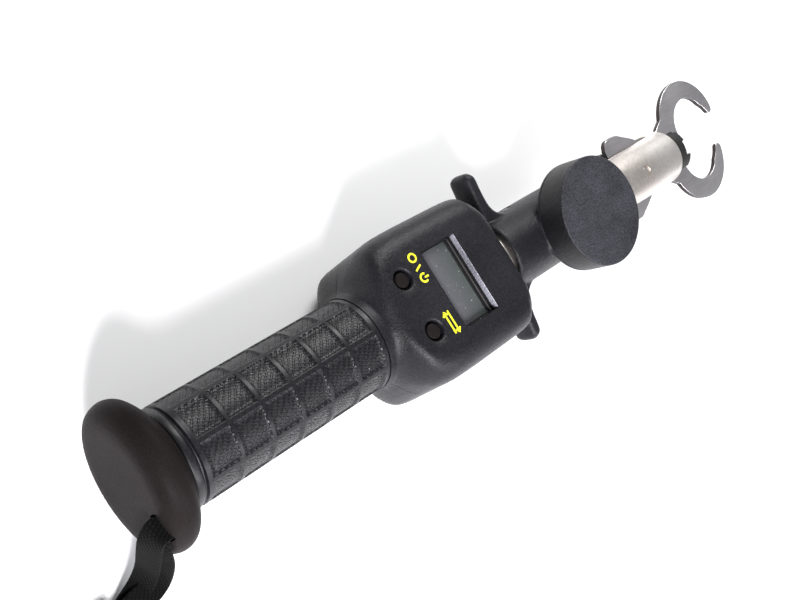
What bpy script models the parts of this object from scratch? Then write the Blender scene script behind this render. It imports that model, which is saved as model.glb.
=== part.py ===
"""A hand-held digital fish scale with a swivelling lip grip.

The long axis is X. The origin is the centre of the flat butt face, the jaws are at +X,
and the display faces +Z. Sizes are in millimetres; MM turns them into Blender's metres.
The handle and the housing are fixed. In front of them the grip head turns on the load
bolt, the trigger slides on the head's tube, and two jaws turn on one cross pin.
"""

import math

import bmesh
import bpy
from mathutils import Matrix, Vector

MM = 0.001
GAP = 0.3

# Handle
FLANGE_RADIUS = 22.9
FLANGE_ROUND = 5.55
CAP_END = 12.1
CAP_NECK_RADIUS = 16.0
GRIP_START = 12.7
GRIP_END = 84.5
GRIP_RADIUS = 15.5
TILE_START = 17.5
TILE_PITCH = 11.0
TILE_ROWS = 6
CORE_RADIUS = 12.7
CORE_BORE = 8.5
CORE_END = 94.4

# Housing: the stations are x, half width, top, bottom and corner radius
HOUSING_TOP = 19.0
HOUSING_BACK = -FLANGE_RADIUS
HOUSING_FRONT = 144.5
HOUSING_STATIONS = (
    (84.8, 15.9, 15.9, 15.9, 15.9),
    (88.0, 15.9, 15.9, 15.9, 15.9),
    (90.0, 18.2, 17.3, 18.4, 14.0),
    (92.0, 20.7, 18.5, 20.9, 12.0),
    (94.5, 23.0, HOUSING_TOP, 22.5, 10.0),
    (98.0, 24.8, HOUSING_TOP, -HOUSING_BACK, 9.0),
    (104.0, 25.5, HOUSING_TOP, -HOUSING_BACK, 8.5),
    (136.0, 24.9, HOUSING_TOP, -HOUSING_BACK, 8.0),
    (139.5, 23.5, 18.7, 22.6, 8.5),
    (142.0, 21.0, 17.9, 21.8, 8.5),
    (143.7, 18.0, 16.6, 20.5, 8.0),
    (HOUSING_FRONT, 15.2, 14.8, 18.7, 7.5),
)
WALL = 2.0
BACK_WALL = 3.0
CAVITY_END = 142.4
WINDOW = ((111.0, 125.7), 14.4)
BUTTON_X = 100.0
BUTTON_Y = 9.1
BUTTON_RADIUS = 2.5
BUTTON_HOLE = 3.3
SCREW_PLACES = ((104.0, 17.2), (104.0, -17.2), (132.0, 17.2), (132.0, -17.2))
DOOR = ((96.6, 139.5), 12.6, 1.5)
BATTERY_RADIUS = 5.25
BATTERY_LENGTH = 44.5
BATTERY_START = 96.0
BATTERY_PLACE = (5.6, -14.3)

# Grip head, in a frame that has turned by SWIVEL_REST about the long axis
SWIVEL_REST = math.radians(12.5)
TUBE_RADIUS = 11.0
TUBE_BORE = 10.0
TUBE_START = 145.2
TUBE_END = 255.5
PLUG_END = 151.4
BOLT_RADIUS = 3.0
PIVOT_X = 232.0
PIVOT_RADIUS = 2.2
JAW_THICKNESS = 2.0
HOOK_LEAN = 0.022
LEAN_START = 15.0
JAW_PLANE = 0.15 + JAW_THICKNESS / 2
SLOT_HALF = 3.2
INSERT_FLAT = 5.4
INSERT_END = 261.1
INSERT_CLAWS = ((44, 74, 262.5), (109, 143, 263.6))
SLOT_RANGE = (220.5, 249.5)

# Trigger and the tape drum that it carries
TRIGGER_TRAVEL = 2.2
SLEEVE_BORE = 11.35
SLEEVE_RADIUS = 13.5
SLEEVE_START = 150.0
SLEEVE_END = 213.0
WING_HALF_HEIGHT = 5.0
WING_SPAN = 31.3
LUG_FACE = 223.9
LUG_OUTER = 13.2
LUG_HALF_HEIGHT = 2.8
HEEL_BASE_RADIUS = 12.3
TRIGGER_PIN_X = 166.0
TRIGGER_PIN_RADIUS = 2.0
DRUM_X = 185.0
DRUM_RADIUS = 19.5
DRUM_BASE = 11.8
DRUM_TOP = 22.3
COVER_TOP = 24.3
DRUM_BORE = 17.6
DRUM_FLOOR = 14.2
COIL_RADIUS = 14.0

# Lanyard
STRAP_WIDTH = 7.5
STRAP_THICKNESS = 1.5
STRAP_SLOT = (-14.2, 8.4)
STRAP_PITCH = 1.9
SLOT_DEPTH = 8.0
KEEPER = (-20.0, -30.5)
KEEPER_DIRECTION = (-0.993, 0.119)
KEEPER_LEVELS = (-20.85, -18.95)
LOOP_HALF = ((31.0, 7.5), (53.0, 13.5), (78.0, 16.0), (98.0, 14.6), (110.0, 9.0))
LOOP_REACH = 116.0


# ---------------------------------------------------------------- building blocks


def clear_scene():
    for obj in list(bpy.data.objects):
        bpy.data.objects.remove(obj, do_unlink=True)


def new_collection(name):
    collection = bpy.data.collections.new(name)
    bpy.context.scene.collection.children.link(collection)
    return collection


def new_material(name, colour, roughness, metallic=0.0):
    material = bpy.data.materials.new(name)
    material.use_nodes = True
    shader = material.node_tree.nodes["Principled BSDF"]
    shader.inputs["Base Color"].default_value = (*colour, 1.0)
    shader.inputs["Roughness"].default_value = roughness
    shader.inputs["Metallic"].default_value = metallic
    material.diffuse_color = (*colour, 1.0)
    return material


def new_empty(name, place=(0, 0, 0), roll=0.0, parent=None):
    empty = bpy.data.objects.new(name, None)
    empty.location = Vector(place) * MM
    empty.rotation_euler = (roll, 0, 0)
    empty.parent = parent
    parts.objects.link(empty)
    return empty


def add_object(name, mesh, look, parent=None, cutter=False):
    """Links a mesh as a part, or as a hidden cutter when it only shapes others."""
    obj = bpy.data.objects.new(name, mesh)
    obj.parent = parent
    (cutters if cutter else parts).objects.link(obj)
    obj.hide_render = cutter
    if cutter:
        obj.display_type = "WIRE"
        return obj
    mesh.materials.append(look)
    mesh.shade_smooth()
    mesh.set_sharp_from_angle(angle=math.radians(35))
    return obj


def mesh_from(bm, name):
    bmesh.ops.recalc_face_normals(bm, faces=bm.faces)
    bmesh.ops.scale(bm, vec=(MM, MM, MM), verts=bm.verts)
    mesh = bpy.data.meshes.new(name)
    bm.to_mesh(mesh)
    bm.free()
    return mesh


def box(name, low, high, look=None, parent=None, cutter=False, bevel=0.0):
    bm = bmesh.new()
    bmesh.ops.create_cube(bm, size=1.0)
    size = Vector(high) - Vector(low)
    bmesh.ops.scale(bm, vec=size, verts=bm.verts)
    bmesh.ops.translate(bm, vec=(Vector(high) + Vector(low)) / 2, verts=bm.verts)
    obj = add_object(name, mesh_from(bm, name), look, parent, cutter)
    if bevel:
        add_bevel(obj, bevel)
    return obj


def cylinder(name, start, end, radius, look=None, parent=None, cutter=False, sides=32, end_radius=None):
    """A cylinder or cone between two points, whose first radius is at the start."""
    bm = bmesh.new()
    start, end = Vector(start), Vector(end)
    along = end - start
    last = radius if end_radius is None else end_radius
    bmesh.ops.create_cone(
        bm, cap_ends=True, segments=sides, radius1=radius, radius2=last, depth=along.length
    )
    turn = Vector((0, 0, 1)).rotation_difference(along).to_matrix().to_4x4()
    place = Matrix.Translation((start + end) / 2) @ turn
    bmesh.ops.transform(bm, matrix=place, verts=bm.verts)
    return add_object(name, mesh_from(bm, name), look, parent, cutter)


def turned(name, profile, look=None, parent=None, cutter=False, sides=32, upright=None):
    """A profile of (radius, along) points, front end first and down its outer side.

    A profile whose ends both lie on the axis is left open, and any other is closed.
    It turns about X, or about the vertical line through upright when that is given.
    """
    mesh = bpy.data.meshes.new(name)
    points = [(radius * MM, 0.0, along * MM) for radius, along in profile]
    edges = [(i, i + 1) for i in range(len(points) - 1)]
    if profile[0][0] > 0 or profile[-1][0] > 0:
        edges.append((len(points) - 1, 0))
    mesh.from_pydata(points, edges, [])
    obj = add_object(name, mesh, look, parent, cutter)
    if upright:
        obj.location = (upright[0] * MM, upright[1] * MM, 0)
    else:
        obj.rotation_euler = (0, math.pi / 2, 0)
    screw = obj.modifiers.new("turn", "SCREW")
    screw.axis = "Z"
    screw.steps = sides
    screw.render_steps = sides
    screw.use_merge_vertices = True
    screw.merge_threshold = 0.00001
    return obj


def plate(name, outline, low, high, look=None, parent=None, cutter=False):
    """A flat outline in XY, from z = low to z = high, made from a filled 2D curve."""
    curve = bpy.data.curves.new(name, "CURVE")
    curve.dimensions = "2D"
    curve.fill_mode = "BOTH"
    curve.extrude = (high - low) / 2 * MM
    spline = curve.splines.new("POLY")
    spline.points.add(len(outline) - 1)
    for point, (x, y) in zip(spline.points, outline):
        point.co = (x * MM, y * MM, 0, 1)
    spline.use_cyclic_u = True
    guide = bpy.data.objects.new(name + "_guide", curve)
    cutters.objects.link(guide)
    graph = bpy.context.evaluated_depsgraph_get()
    mesh = bpy.data.meshes.new_from_object(guide.evaluated_get(graph))
    bpy.data.objects.remove(guide)
    bm = bmesh.new()
    bm.from_mesh(mesh)
    bmesh.ops.remove_doubles(bm, verts=bm.verts, dist=0.000001)
    bmesh.ops.translate(bm, vec=(0, 0, (low + high) / 2 * MM), verts=bm.verts)
    bmesh.ops.recalc_face_normals(bm, faces=bm.faces)
    bm.to_mesh(mesh)
    bm.free()
    return add_object(name, mesh, look, parent, cutter)


def loft(name, rings, look=None, parent=None, cutter=False):
    """A closed skin over rings of equal point counts, with a flat cap at each end."""
    bm = bmesh.new()
    loops = [[bm.verts.new(point) for point in ring] for ring in rings]
    count = len(loops[0])
    for near, far in zip(loops, loops[1:]):
        for i in range(count):
            j = (i + 1) % count
            bm.faces.new((near[i], near[j], far[j], far[i]))
    bm.faces.new(loops[0])
    bm.faces.new(loops[-1])
    return add_object(name, mesh_from(bm, name), look, parent, cutter)


def wire(name, points, radius, look, parent=None, resolution=2):
    curve = bpy.data.curves.new(name, "CURVE")
    curve.dimensions = "3D"
    curve.bevel_depth = radius * MM
    curve.bevel_resolution = resolution
    curve.use_fill_caps = True
    spline = curve.splines.new("POLY")
    spline.points.add(len(points) - 1)
    for point, place in zip(spline.points, points):
        point.co = (*(Vector(place) * MM), 1)
    curve.materials.append(look)
    obj = bpy.data.objects.new(name, curve)
    obj.parent = parent
    parts.objects.link(obj)
    return obj


def add_bevel(obj, width, segments=2, angle=40):
    bevel = obj.modifiers.new("round", "BEVEL")
    bevel.width = width * MM
    bevel.segments = segments
    bevel.limit_method = "ANGLE"
    bevel.angle_limit = math.radians(angle)


def boolean(obj, other, operation):
    step = obj.modifiers.new(operation.lower(), "BOOLEAN")
    step.operation = operation
    step.solver = "EXACT"
    step.object = other


def cut(obj, *others):
    for other in others:
        boolean(obj, other, "DIFFERENCE")


def join(obj, *others):
    for other in others:
        boolean(obj, other, "UNION")


def arc(centre, radius, start, end, count):
    """Points from one angle to another, in degrees, both ends included."""
    angles = [math.radians(start + (end - start) * i / (count - 1)) for i in range(count)]
    return [
        (centre[0] + radius * math.cos(a), centre[1] + radius * math.sin(a)) for a in angles
    ]


def rounded_section(x, half, top, bottom, corner, per_corner=5):
    """A rounded rectangle across X, with its corner radius kept under its half sizes."""
    corner = min(corner, half - 0.01, top - 0.01, bottom - 0.01)
    ring = []
    for side, height, start in ((1, top, 0), (-1, top, 90), (-1, -bottom, 180), (1, -bottom, 270)):
        middle = (side * (half - corner), height - math.copysign(corner, height))
        ring += [(x, y, z) for y, z in arc(middle, corner, start, start + 90, per_corner)]
    return ring


def smooth_path(points, per_span):
    """A Catmull-Rom curve through tuples of any length."""
    first = [2 * a - b for a, b in zip(points[0], points[1])]
    last = [2 * a - b for a, b in zip(points[-1], points[-2])]
    line = [first, *points, last]
    path = []
    for p0, p1, p2, p3 in zip(line, line[1:], line[2:], line[3:]):
        for step in range(per_span):
            t = step / per_span
            path.append(
                [
                    0.5 * (2 * b + (c - a) * t + (2 * a - 5 * b + 4 * c - d) * t**2
                           + (3 * b - a - 3 * c + d) * t**3)
                    for a, b, c, d in zip(p0, p1, p2, p3)
                ]
            )
    path.append(list(points[-1]))
    return path


# ---------------------------------------------------------------- handle and housing


def make_butt_cap():
    rim_centre = (FLANGE_ROUND, FLANGE_RADIUS - FLANGE_ROUND)
    rim = [(r, x) for x, r in arc(rim_centre, FLANGE_ROUND, 20, 180, 9)]
    neck = [(r, x) for x, r in arc((CAP_END + 0.2, 20.6), 4.6, 270, 210, 4)]
    plug = [(0, 20.0), (CORE_BORE - GAP, 20.0), (CORE_BORE - GAP, CAP_END)]
    cap = turned("butt_cap", [*plug, *neck, *rim, (0, 0.0)], rubber, sides=40)
    y, z = STRAP_SLOT
    half = (STRAP_WIDTH / 2 + 0.5, (STRAP_PITCH + STRAP_THICKNESS) / 2 + 0.5)
    low, high = (-5, y - half[0], z - half[1]), (SLOT_DEPTH, y + half[0], z + half[1])
    slot = box("lanyard_slot", low, high, cutter=True)
    cut(cap, slot)


def make_handle():
    end = CORE_END
    profile = [
        (1.9, end), (CORE_RADIUS, end), (CORE_RADIUS, GRIP_START), (CORE_BORE, GRIP_START),
        (CORE_BORE, end - 2.4), (1.9, end - 2.4),
    ]
    turned("handle_core", profile, plastic)
    outer = [(GRIP_RADIUS - 0.6, GRIP_END), (GRIP_RADIUS, GRIP_END - 0.5)]
    for row in range(TILE_ROWS, -1, -1):
        x = TILE_START + row * TILE_PITCH
        if row < TILE_ROWS:
            outer += [(GRIP_RADIUS, x + 0.6), (GRIP_RADIUS - 0.8, x), (GRIP_RADIUS, x - 0.6)]
    outer += [(GRIP_RADIUS, GRIP_START)]
    bore = [(CORE_RADIUS + GAP, GRIP_START), (CORE_RADIUS + GAP, GRIP_END)]
    turned("rubber_grip", [*outer, *bore], rubber, sides=28)
    turned(
        "anchor_screw",
        [(0, 106.0), (1.5, 106.0), (1.5, 91.7), (3.2, 91.7), (3.2, 89.6), (0, 89.6)],
        steel,
        sides=16,
    )


def housing_skin(name, cutter=False):
    rings = [rounded_section(*station) for station in HOUSING_STATIONS]
    return loft(name, rings, plastic, cutter=cutter)


def housing_cavity():
    """The hollow inside both shells, whose rear is the round bore for the handle core."""
    bore = CORE_RADIUS + GAP
    rings = [rounded_section(x, bore, bore, bore, bore) for x in (80.0, 90.5)]
    for x, half, top, bottom, corner in HOUSING_STATIONS[3:-3]:
        rings.append(
            rounded_section(x + 0.8, half - WALL, top - WALL, bottom - BACK_WALL, corner - WALL)
        )
    rings.append(rounded_section(CAVITY_END, 18.6, 15.6, 18.6, 6.5))
    return loft("housing_hollow", rings, cutter=True)


def make_housing():
    hollow = housing_cavity()
    bush_hole = cylinder("bush_hole", (138, 0, 0), (150, 0, 0), 6.9, cutter=True)
    front = housing_skin("front_shell")
    back = housing_skin("back_shell")
    cut(front, hollow)
    cut(back, hollow)
    for index, (x, y) in enumerate(SCREW_PLACES, 1):
        upper = cylinder(f"upper_boss_{index}", (x, y, -3), (x, y, 17.5), 3.3, cutter=True, sides=20)
        lower = cylinder(f"lower_boss_{index}", (x, y, -21.5), (x, y, 3), 3.5, cutter=True, sides=20)
        pilot = cylinder(f"pilot_{index}", (x, y, -30), (x, y, 9.0), 1.6, cutter=True, sides=16)
        sink = cylinder(f"sink_{index}", (x, y, -30), (x, y, -19.2), 2.95, cutter=True, sides=20)
        join(front, upper)
        cut(front, pilot)
        join(back, lower)
        cut(back, pilot, sink)
        turned(
            f"housing_screw_{index}",
            [(0, 8.4), (1.3, 8.4), (1.3, -19.5), (2.6, -19.5), (2.6, -21.6), (0, -21.6)],
            steel,
            sides=16,
            upright=(x, y),
        )
    cut(front, box("below", (70, -40, -40), (160, 40, GAP / 2), cutter=True), bush_hole)
    cut(back, box("above", (70, -40, -GAP / 2), (160, 40, 40), cutter=True), bush_hole)
    (rear, ahead), side = WINDOW
    cut(front, box("window", (rear, -side, 15), (ahead, side, 25), cutter=True))
    for index, y in enumerate((BUTTON_Y, -BUTTON_Y), 1):
        place = (BUTTON_X, y, 12)
        hole = cylinder(f"button_hole_{index}", place, (BUTTON_X, y, 25), BUTTON_HOLE, cutter=True)
        cut(front, hole)
    (door_rear, door_front), half, thick = DOOR
    floor = HOUSING_BACK + thick + GAP
    cut(
        back,
        box("door_recess", (86, -half - GAP, -30), (door_front + GAP, half + GAP, floor), cutter=True),
        box("battery_opening", (98.5, 1.2 - half, -25), (door_front - 1.2, half - 1.2, -15), cutter=True),
    )
    make_battery_door(door_rear, door_front, half, thick)


def make_battery_door(rear, ahead, half, thick):
    pivot = new_empty("door_slide", (rear, 0, HOUSING_BACK))
    size = (ahead - rear, half, thick)
    door = box("battery_door", (0, -size[1], 0), size, plastic, pivot)
    for index, x in enumerate((5.0, 7.5, 10.0), 1):
        groove = box(f"thumb_groove_{index}", (x, -6, -1), (x + 1.2, 6, 0.5), cutter=True, parent=pivot)
        cut(door, groove)


def make_electronics():
    board = box("circuit_board", (95.5, -13.4, 9.0), (139.5, 13.4, 10.4), board_green)
    cut(board, cylinder("board_hole", (136, 0, 5), (136, 0, 15), 1.6, cutter=True, sides=16))
    box("lcd_panel", (108.0, -15.6, 12.2), (128.4, 15.6, 14.3), lcd_grey, bevel=0.3)
    box("display_window", (109.0, -16.0, 14.7), (127.6, 16.0, 16.6), clear_plastic, bevel=0.2)
    for name, y in (("power", BUTTON_Y), ("units", -BUTTON_Y)):
        x = BUTTON_X
        box(f"{name}_switch", (x - 3, y - 3, 10.7), (x + 3, y + 3, 13.4), plastic, bevel=0.3)
        stem = [(0, 18.7), (BUTTON_RADIUS - 0.4, 18.7), (BUTTON_RADIUS, 18.2), (BUTTON_RADIUS, 16.5)]
        flange = [(4.2, 16.5), (4.2, 15.6), (1.5, 15.6), (1.5, 14.6), (0, 14.6)]
        turned(f"{name}_button", [*stem, *flange], rubber, sides=20, upright=(x, y))
    y, z = BATTERY_PLACE
    for index, side in enumerate((1, -1), 1):
        start, end = BATTERY_START, BATTERY_START + BATTERY_LENGTH
        can = [
            (0, end), (1.9, end), (1.9, end - 1.0), (BATTERY_RADIUS - 0.5, end - 1.2),
            (BATTERY_RADIUS, end - 1.7), (BATTERY_RADIUS, start), (0, start),
        ]
        cell = turned(f"battery_{index}", can, battery_wrap, sides=24)
        cell.location = (0, side * y * MM, z * MM)
    box("contact_plate", (141.0, -10.5, -18.8), (141.5, 10.5, -10.0), steel)
    minus = box("contact_springs", (94.8, -10.5, -18.8), (95.2, 10.5, -13.2), steel)
    for index, side in enumerate((1, -1), 1):
        start, end = (95.0, side * y, z - 1.5), (95.8, side * y, z - 1.5)
        nub = cylinder(f"nub_{index}", start, end, 2.4, cutter=True, sides=16, end_radius=1.4)
        join(minus, nub)


def make_load_cell():
    beam = box("load_cell", (98.0, -6.0, -3.6), (133.0, 6.0, 3.6), aluminium)
    for index, x in enumerate((111.5, 119.5), 1):
        eye = cylinder(f"beam_eye_{index}", (x, -10, 0), (x, 10, 0), 2.5, cutter=True, sides=24)
        cut(beam, eye)
    cut(beam, box("beam_slit", (111.5, -10, -0.8), (119.5, 10, 0.8), cutter=True))
    cut(beam, cylinder("bolt_bore", (124, 0, 0), (140, 0, 0), BOLT_RADIUS + GAP, cutter=True))
    cut(beam, cylinder("anchor_bore", (90, 0, 0), (107, 0, 0), 1.8, cutter=True, sides=16))
    x = 115.5
    lead = [
        (x, 0, 4.3), (x - 3, 1.5, 4.6), (x - 6, 3.5, 5.6), (x - 8, 6, 6.6), (x - 9, 9, 7.4),
        (x - 9, 12, 8.0),
    ]
    wire("load_cell_wire", lead, 0.5, red_wire)
    bush = [(8.6, 137.2), (8.6, 138.6), (6.6, 138.6), (6.6, 144.4)]
    turned("swivel_bush", [*reversed(bush), (BOLT_RADIUS + GAP, 137.2), (BOLT_RADIUS + GAP, 144.4)], brass)
    bolt = [(0, 156.0), (5.5, 156.0), (5.5, 152.8), (BOLT_RADIUS, 152.8), (BOLT_RADIUS, 125.0), (0, 125.0)]
    turned("load_bolt", bolt, steel, sides=24)


# ---------------------------------------------------------------- grip head


def make_head(head):
    outer = [
        (TUBE_BORE + 0.2, TUBE_END), (TUBE_RADIUS - 0.25, TUBE_END), (TUBE_RADIUS, TUBE_END - 0.3),
        (TUBE_RADIUS, TUBE_START), (TUBE_BORE, TUBE_START),
    ]
    tube = turned("grip_tube", outer, stainless, head, sides=48)
    low, high = SLOT_RANGE
    pin = TRIGGER_PIN_RADIUS + GAP
    pin_slot = (TRIGGER_PIN_X - pin, TRIGGER_PIN_X + pin + TRIGGER_TRAVEL)
    cut(
        tube,
        box("jaw_slot", (low, -20, -SLOT_HALF), (high, 20, SLOT_HALF), parent=head, cutter=True),
        box("pin_slot", (pin_slot[0], -20, -pin), (pin_slot[1], 20, pin), parent=head, cutter=True),
        cylinder("pivot_hole", (PIVOT_X, 0, -20), (PIVOT_X, 0, 20), PIVOT_RADIUS + 0.1, parent=head,
                 cutter=True, sides=24),
        cylinder("grub_hole", (148.6, 0, 0), (148.6, -20, 0), 1.7, parent=head, cutter=True, sides=16),
    )
    bore = BOLT_RADIUS + GAP
    plug = turned(
        "tube_plug",
        [(bore, PLUG_END), (TUBE_BORE - GAP, PLUG_END), (TUBE_BORE - GAP, 145.5), (bore, 145.5)],
        aluminium, head,
    )
    cut(plug, cylinder("grub_seat", (148.6, -4.6, 0), (148.6, -20, 0), 1.7, parent=head,
                       cutter=True, sides=16))
    cylinder("plug_screw", (148.6, -5.0, 0), (148.6, -10.7, 0), 1.4, steel, head, sides=16)
    turned("thrust_washer", [(bore, 152.5), (6.5, 152.5), (6.5, 151.7), (bore, 151.7)], brass, head,
           sides=24)
    cylinder("pivot_pin", (PIVOT_X, 0, -10.4), (PIVOT_X, 0, 10.5), PIVOT_RADIUS, steel, head, sides=24)
    ring = [(PIVOT_RADIUS + GAP, -2.5), (5.0, -2.5), (5.0, -8.6), (PIVOT_RADIUS + GAP, -8.6)]
    turned("pivot_spacer", ring, brass, head, sides=20, upright=(PIVOT_X, 0))
    spring = [
        (PIVOT_X + 3.4 * math.cos(a), 3.4 * math.sin(a), 3.0 + a * 0.235)
        for a in [i * math.pi / 5 for i in range(33)]
    ]
    wire("jaw_spring", spring, 0.45, steel, head)
    make_mouth_inserts(head)


def segment(radius, start, end, level, count):
    """The outline in YZ between an arc of that radius and a flat at that level."""
    points = arc((0, 0), radius, start, end, count)
    return points + [(points[-1][0], level), (points[0][0], level)]


def make_mouth_inserts(head):
    """Two half plugs that fill the mouth above and below the jaws, each with two claws."""
    radius = TUBE_BORE - GAP
    flat = math.degrees(math.asin(INSERT_FLAT / radius))
    for name, side in (("upper_mouth_insert", 1), ("lower_mouth_insert", -1)):
        body = arc((0, 0), radius, flat, 180 - flat, 12)
        rings = [[(x, y, side * z) for y, z in body] for x in (249.5, INSERT_END)]
        insert = loft(name, rings, black_rubber, head)
        for index, (start, end, reach) in enumerate(INSERT_CLAWS, 1):
            outline = segment(radius - 0.05, start, end, INSERT_FLAT + 0.2, 5)
            rings = [[(x, y, side * z) for y, z in outline] for x in (INSERT_END - 1.5, reach)]
            join(insert, loft(f"{name}_claw_{index}", rings, parent=head, cutter=True))


def jaw_outline(side):
    """The left jaw about its pivot: hub, heel cam, neck and hook; side -1 mirrors it.

    The heel's rear edge is an involute of HEEL_BASE_RADIUS, so a flat pusher that moves
    along X turns the jaw by exactly its travel over that radius. Past LEAN_START both jaws
    lean the same way by HOOK_LEAN, which is the play in the pivot.
    """
    base = HEEL_BASE_RADIUS
    roll_at_rest = PIVOT_X - LUG_FACE - GAP
    cam = []
    for step in range(6):
        roll = 4.8 + step * 0.95
        turn = (roll_at_rest - roll) / base
        cam.append(
            (
                -roll * math.cos(turn) - base * math.sin(turn),
                base * math.cos(turn) - roll * math.sin(turn),
            )
        )
    heel = arc((-4.0, 13.6), 3.4, 165, 95, 5) + [(1.0, 17.0), (3.2, 16.0), (10.5, 12.2), (14.5, 9.3)]
    hook_outer = arc((47.4, 6.9), 18.2, 158, 12, 15)
    tip = arc((63.6, 8.6), 1.8, 10, -150, 6)
    hook_inner = arc((49.0, 6.4), 10.9, 14, 200, 13)
    neck = [(35.0, 0.2), (28.0, -2.4), (18.0, -4.2)]
    hub = arc((0, 0), 6.0, 290, 180, 7) + [(-6.0, 4.5)]
    shoulder = [(23.8, 9.2), (26.2, 11.0)]
    outline = [*cam, *heel, *shoulder, *hook_outer, *tip, *hook_inner, *neck, *hub]
    return [(x, side * y - HOOK_LEAN * max(0.0, x - LEAN_START)) for x, y in outline]


def make_jaw(name, side, head):
    pivot = new_empty(f"{name}_pivot", (PIVOT_X, 0, 0), parent=head)
    middle = side * JAW_PLANE
    half = JAW_THICKNESS / 2
    jaw = plate(name, jaw_outline(side), middle - half, middle + half, brushed_steel, pivot)
    bore = cylinder(f"{name}_bore", (0, 0, -9), (0, 0, 9), PIVOT_RADIUS + GAP, parent=pivot,
                    cutter=True, sides=24)
    cut(jaw, bore)


# ---------------------------------------------------------------- trigger and drum


def wing_outline():
    """Both finger wings in XY, with a concave front that runs into the sleeve."""
    span = WING_SPAN
    half = [
        (SLEEVE_START, span - 3.0), (151.0, span - 0.9), (152.7, span),
        (154.4, span - 0.9), (155.3, span - 3.2), (155.5, 23.0), (156.4, 18.0), (158.6, 14.8),
        (162.5, 12.8), (168.0, 12.4),
    ]
    return half + [(x, -y) for x, y in reversed(half)]


def make_trigger(head):
    slide = new_empty("trigger_slide", parent=head)
    ring = [
        (SLEEVE_RADIUS - 0.5, SLEEVE_END), (SLEEVE_RADIUS, SLEEVE_END - 0.5),
        (SLEEVE_RADIUS, SLEEVE_START + 0.6), (SLEEVE_RADIUS - 0.6, SLEEVE_START), (8.0, SLEEVE_START),
        (8.0, SLEEVE_END),
    ]
    sleeve = turned("trigger_sleeve", ring, plastic, slide, sides=48)
    wings = plate("wings", wing_outline(), -WING_HALF_HEIGHT, WING_HALF_HEIGHT, parent=slide, cutter=True)
    drum = cylinder("drum_cup", (DRUM_X, 0, DRUM_BASE), (DRUM_X, 0, DRUM_TOP), DRUM_RADIUS,
                    parent=slide, cutter=True, sides=48)
    saddle = cylinder("drum_saddle", (DRUM_X, 0, 2.0), (DRUM_X, 0, DRUM_BASE + 1.0), 11.6,
                      parent=slide, cutter=True, sides=32, end_radius=17.0)
    join(sleeve, wings, drum, saddle)
    for index, side in enumerate((1, -1), 1):
        low, high = sorted((side * 9.0, side * LUG_OUTER))
        arm = box(f"pusher_arm_{index}", (200, low, -LUG_HALF_HEIGHT), (LUG_FACE, high, LUG_HALF_HEIGHT),
                  parent=slide, cutter=True)
        join(sleeve, arm)
    x = TRIGGER_PIN_X
    radius = TRIGGER_PIN_RADIUS
    tape_mouth = (DRUM_X + 9.0, 13.8, 15.0), (DRUM_X + 25.0, 15.2, 20.5)
    cut(
        sleeve,
        cylinder("sleeve_bore", (140, 0, 0), (230, 0, 0), SLEEVE_BORE, parent=slide, cutter=True,
                 sides=48),
        cylinder("drum_bore", (DRUM_X, 0, DRUM_FLOOR), (DRUM_X, 0, 30), DRUM_BORE, parent=slide,
                 cutter=True, sides=40),
        cylinder("pin_bore", (x, -20, 0), (x, 20, 0), radius + 0.1, parent=slide, cutter=True, sides=16),
        box("tape_mouth", *tape_mouth, parent=slide, cutter=True),
    )
    cylinder("trigger_pin", (x, -13.2, 0), (x, 13.2, 0), radius, steel, slide, sides=16)
    seat = [(5.5, x - 2.3), (TUBE_BORE - GAP, x - 2.3), (TUBE_BORE - GAP, x - 3.8), (5.5, x - 3.8)]
    turned("spring_seat", seat, brass, slide, sides=24)
    start, end = PLUG_END + 1.0, x - 4.8
    turns = 4.5
    count = 40
    helix = [
        (
            start + (end - start) * i / count,
            8.3 * math.cos(math.tau * turns * i / count),
            8.3 * math.sin(math.tau * turns * i / count),
        )
        for i in range(count + 1)
    ]
    wire("return_spring", helix, 0.6, steel, head)
    make_drum(slide)


def make_drum(slide):
    middle = (DRUM_X, 0)
    low = DRUM_TOP + GAP
    cover = [
        (0, COVER_TOP), (DRUM_RADIUS - 0.5, COVER_TOP), (DRUM_RADIUS, COVER_TOP - 0.5), (DRUM_RADIUS, low),
        (DRUM_BORE - GAP, low), (DRUM_BORE - GAP, low - 1.0), (0, low - 1.0),
    ]
    turned("drum_cover", cover, plastic, slide, sides=40, upright=middle)
    floor = DRUM_FLOOR
    cylinder("drum_axle", (DRUM_X, 0, floor + GAP), (DRUM_X, 0, 21.2), 1.5, steel, slide, sides=16)
    spool_axis = new_empty("tape_spool_axis", (DRUM_X, 0, 0), parent=slide)
    spool = [
        (5.4, 20.9), (5.4, floor + 1.1), (15.6, floor + 1.1), (15.6, floor + 0.4), (1.85, floor + 0.4),
        (1.85, floor + 1.1), (4.8, floor + 1.1), (4.8, 20.9),
    ]
    turned("tape_spool", spool, white_plastic, spool_axis, sides=28, upright=(0, 0))
    coil = [(5.7, 20.9), (COIL_RADIUS, 20.9), (COIL_RADIUS, floor + 1.4), (5.7, floor + 1.4)]
    turned("tape_coil", coil, tape_yellow, spool_axis, sides=28, upright=(0, 0))
    spiral = [
        (2.3 + 1.9 * i / 36, math.tau * 2.5 * i / 36) for i in range(37)
    ]
    inner = [(r * math.cos(a), r * math.sin(a)) for r, a in spiral]
    outer = [((r + 0.3) * math.cos(a), (r + 0.3) * math.sin(a)) for r, a in spiral]
    strip = plate("rewind_spring", inner + outer[::-1], floor + 1.5, 20.5, steel, slide)
    strip.location = (DRUM_X * MM, 0, 0)
    tab_slide = new_empty("tape_slide", (DRUM_X, COIL_RADIUS + 0.3, 0), parent=slide)
    blade = box("tape_tab", (0, 0, floor + 1.4), (15.0, 0.4, 19.8), tape_yellow, tab_slide)
    join(blade, box("pull_tab", (14.7, -1.1, floor + 0.8), (15.9, 0.9, 20.0), parent=tab_slide, cutter=True))


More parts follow.
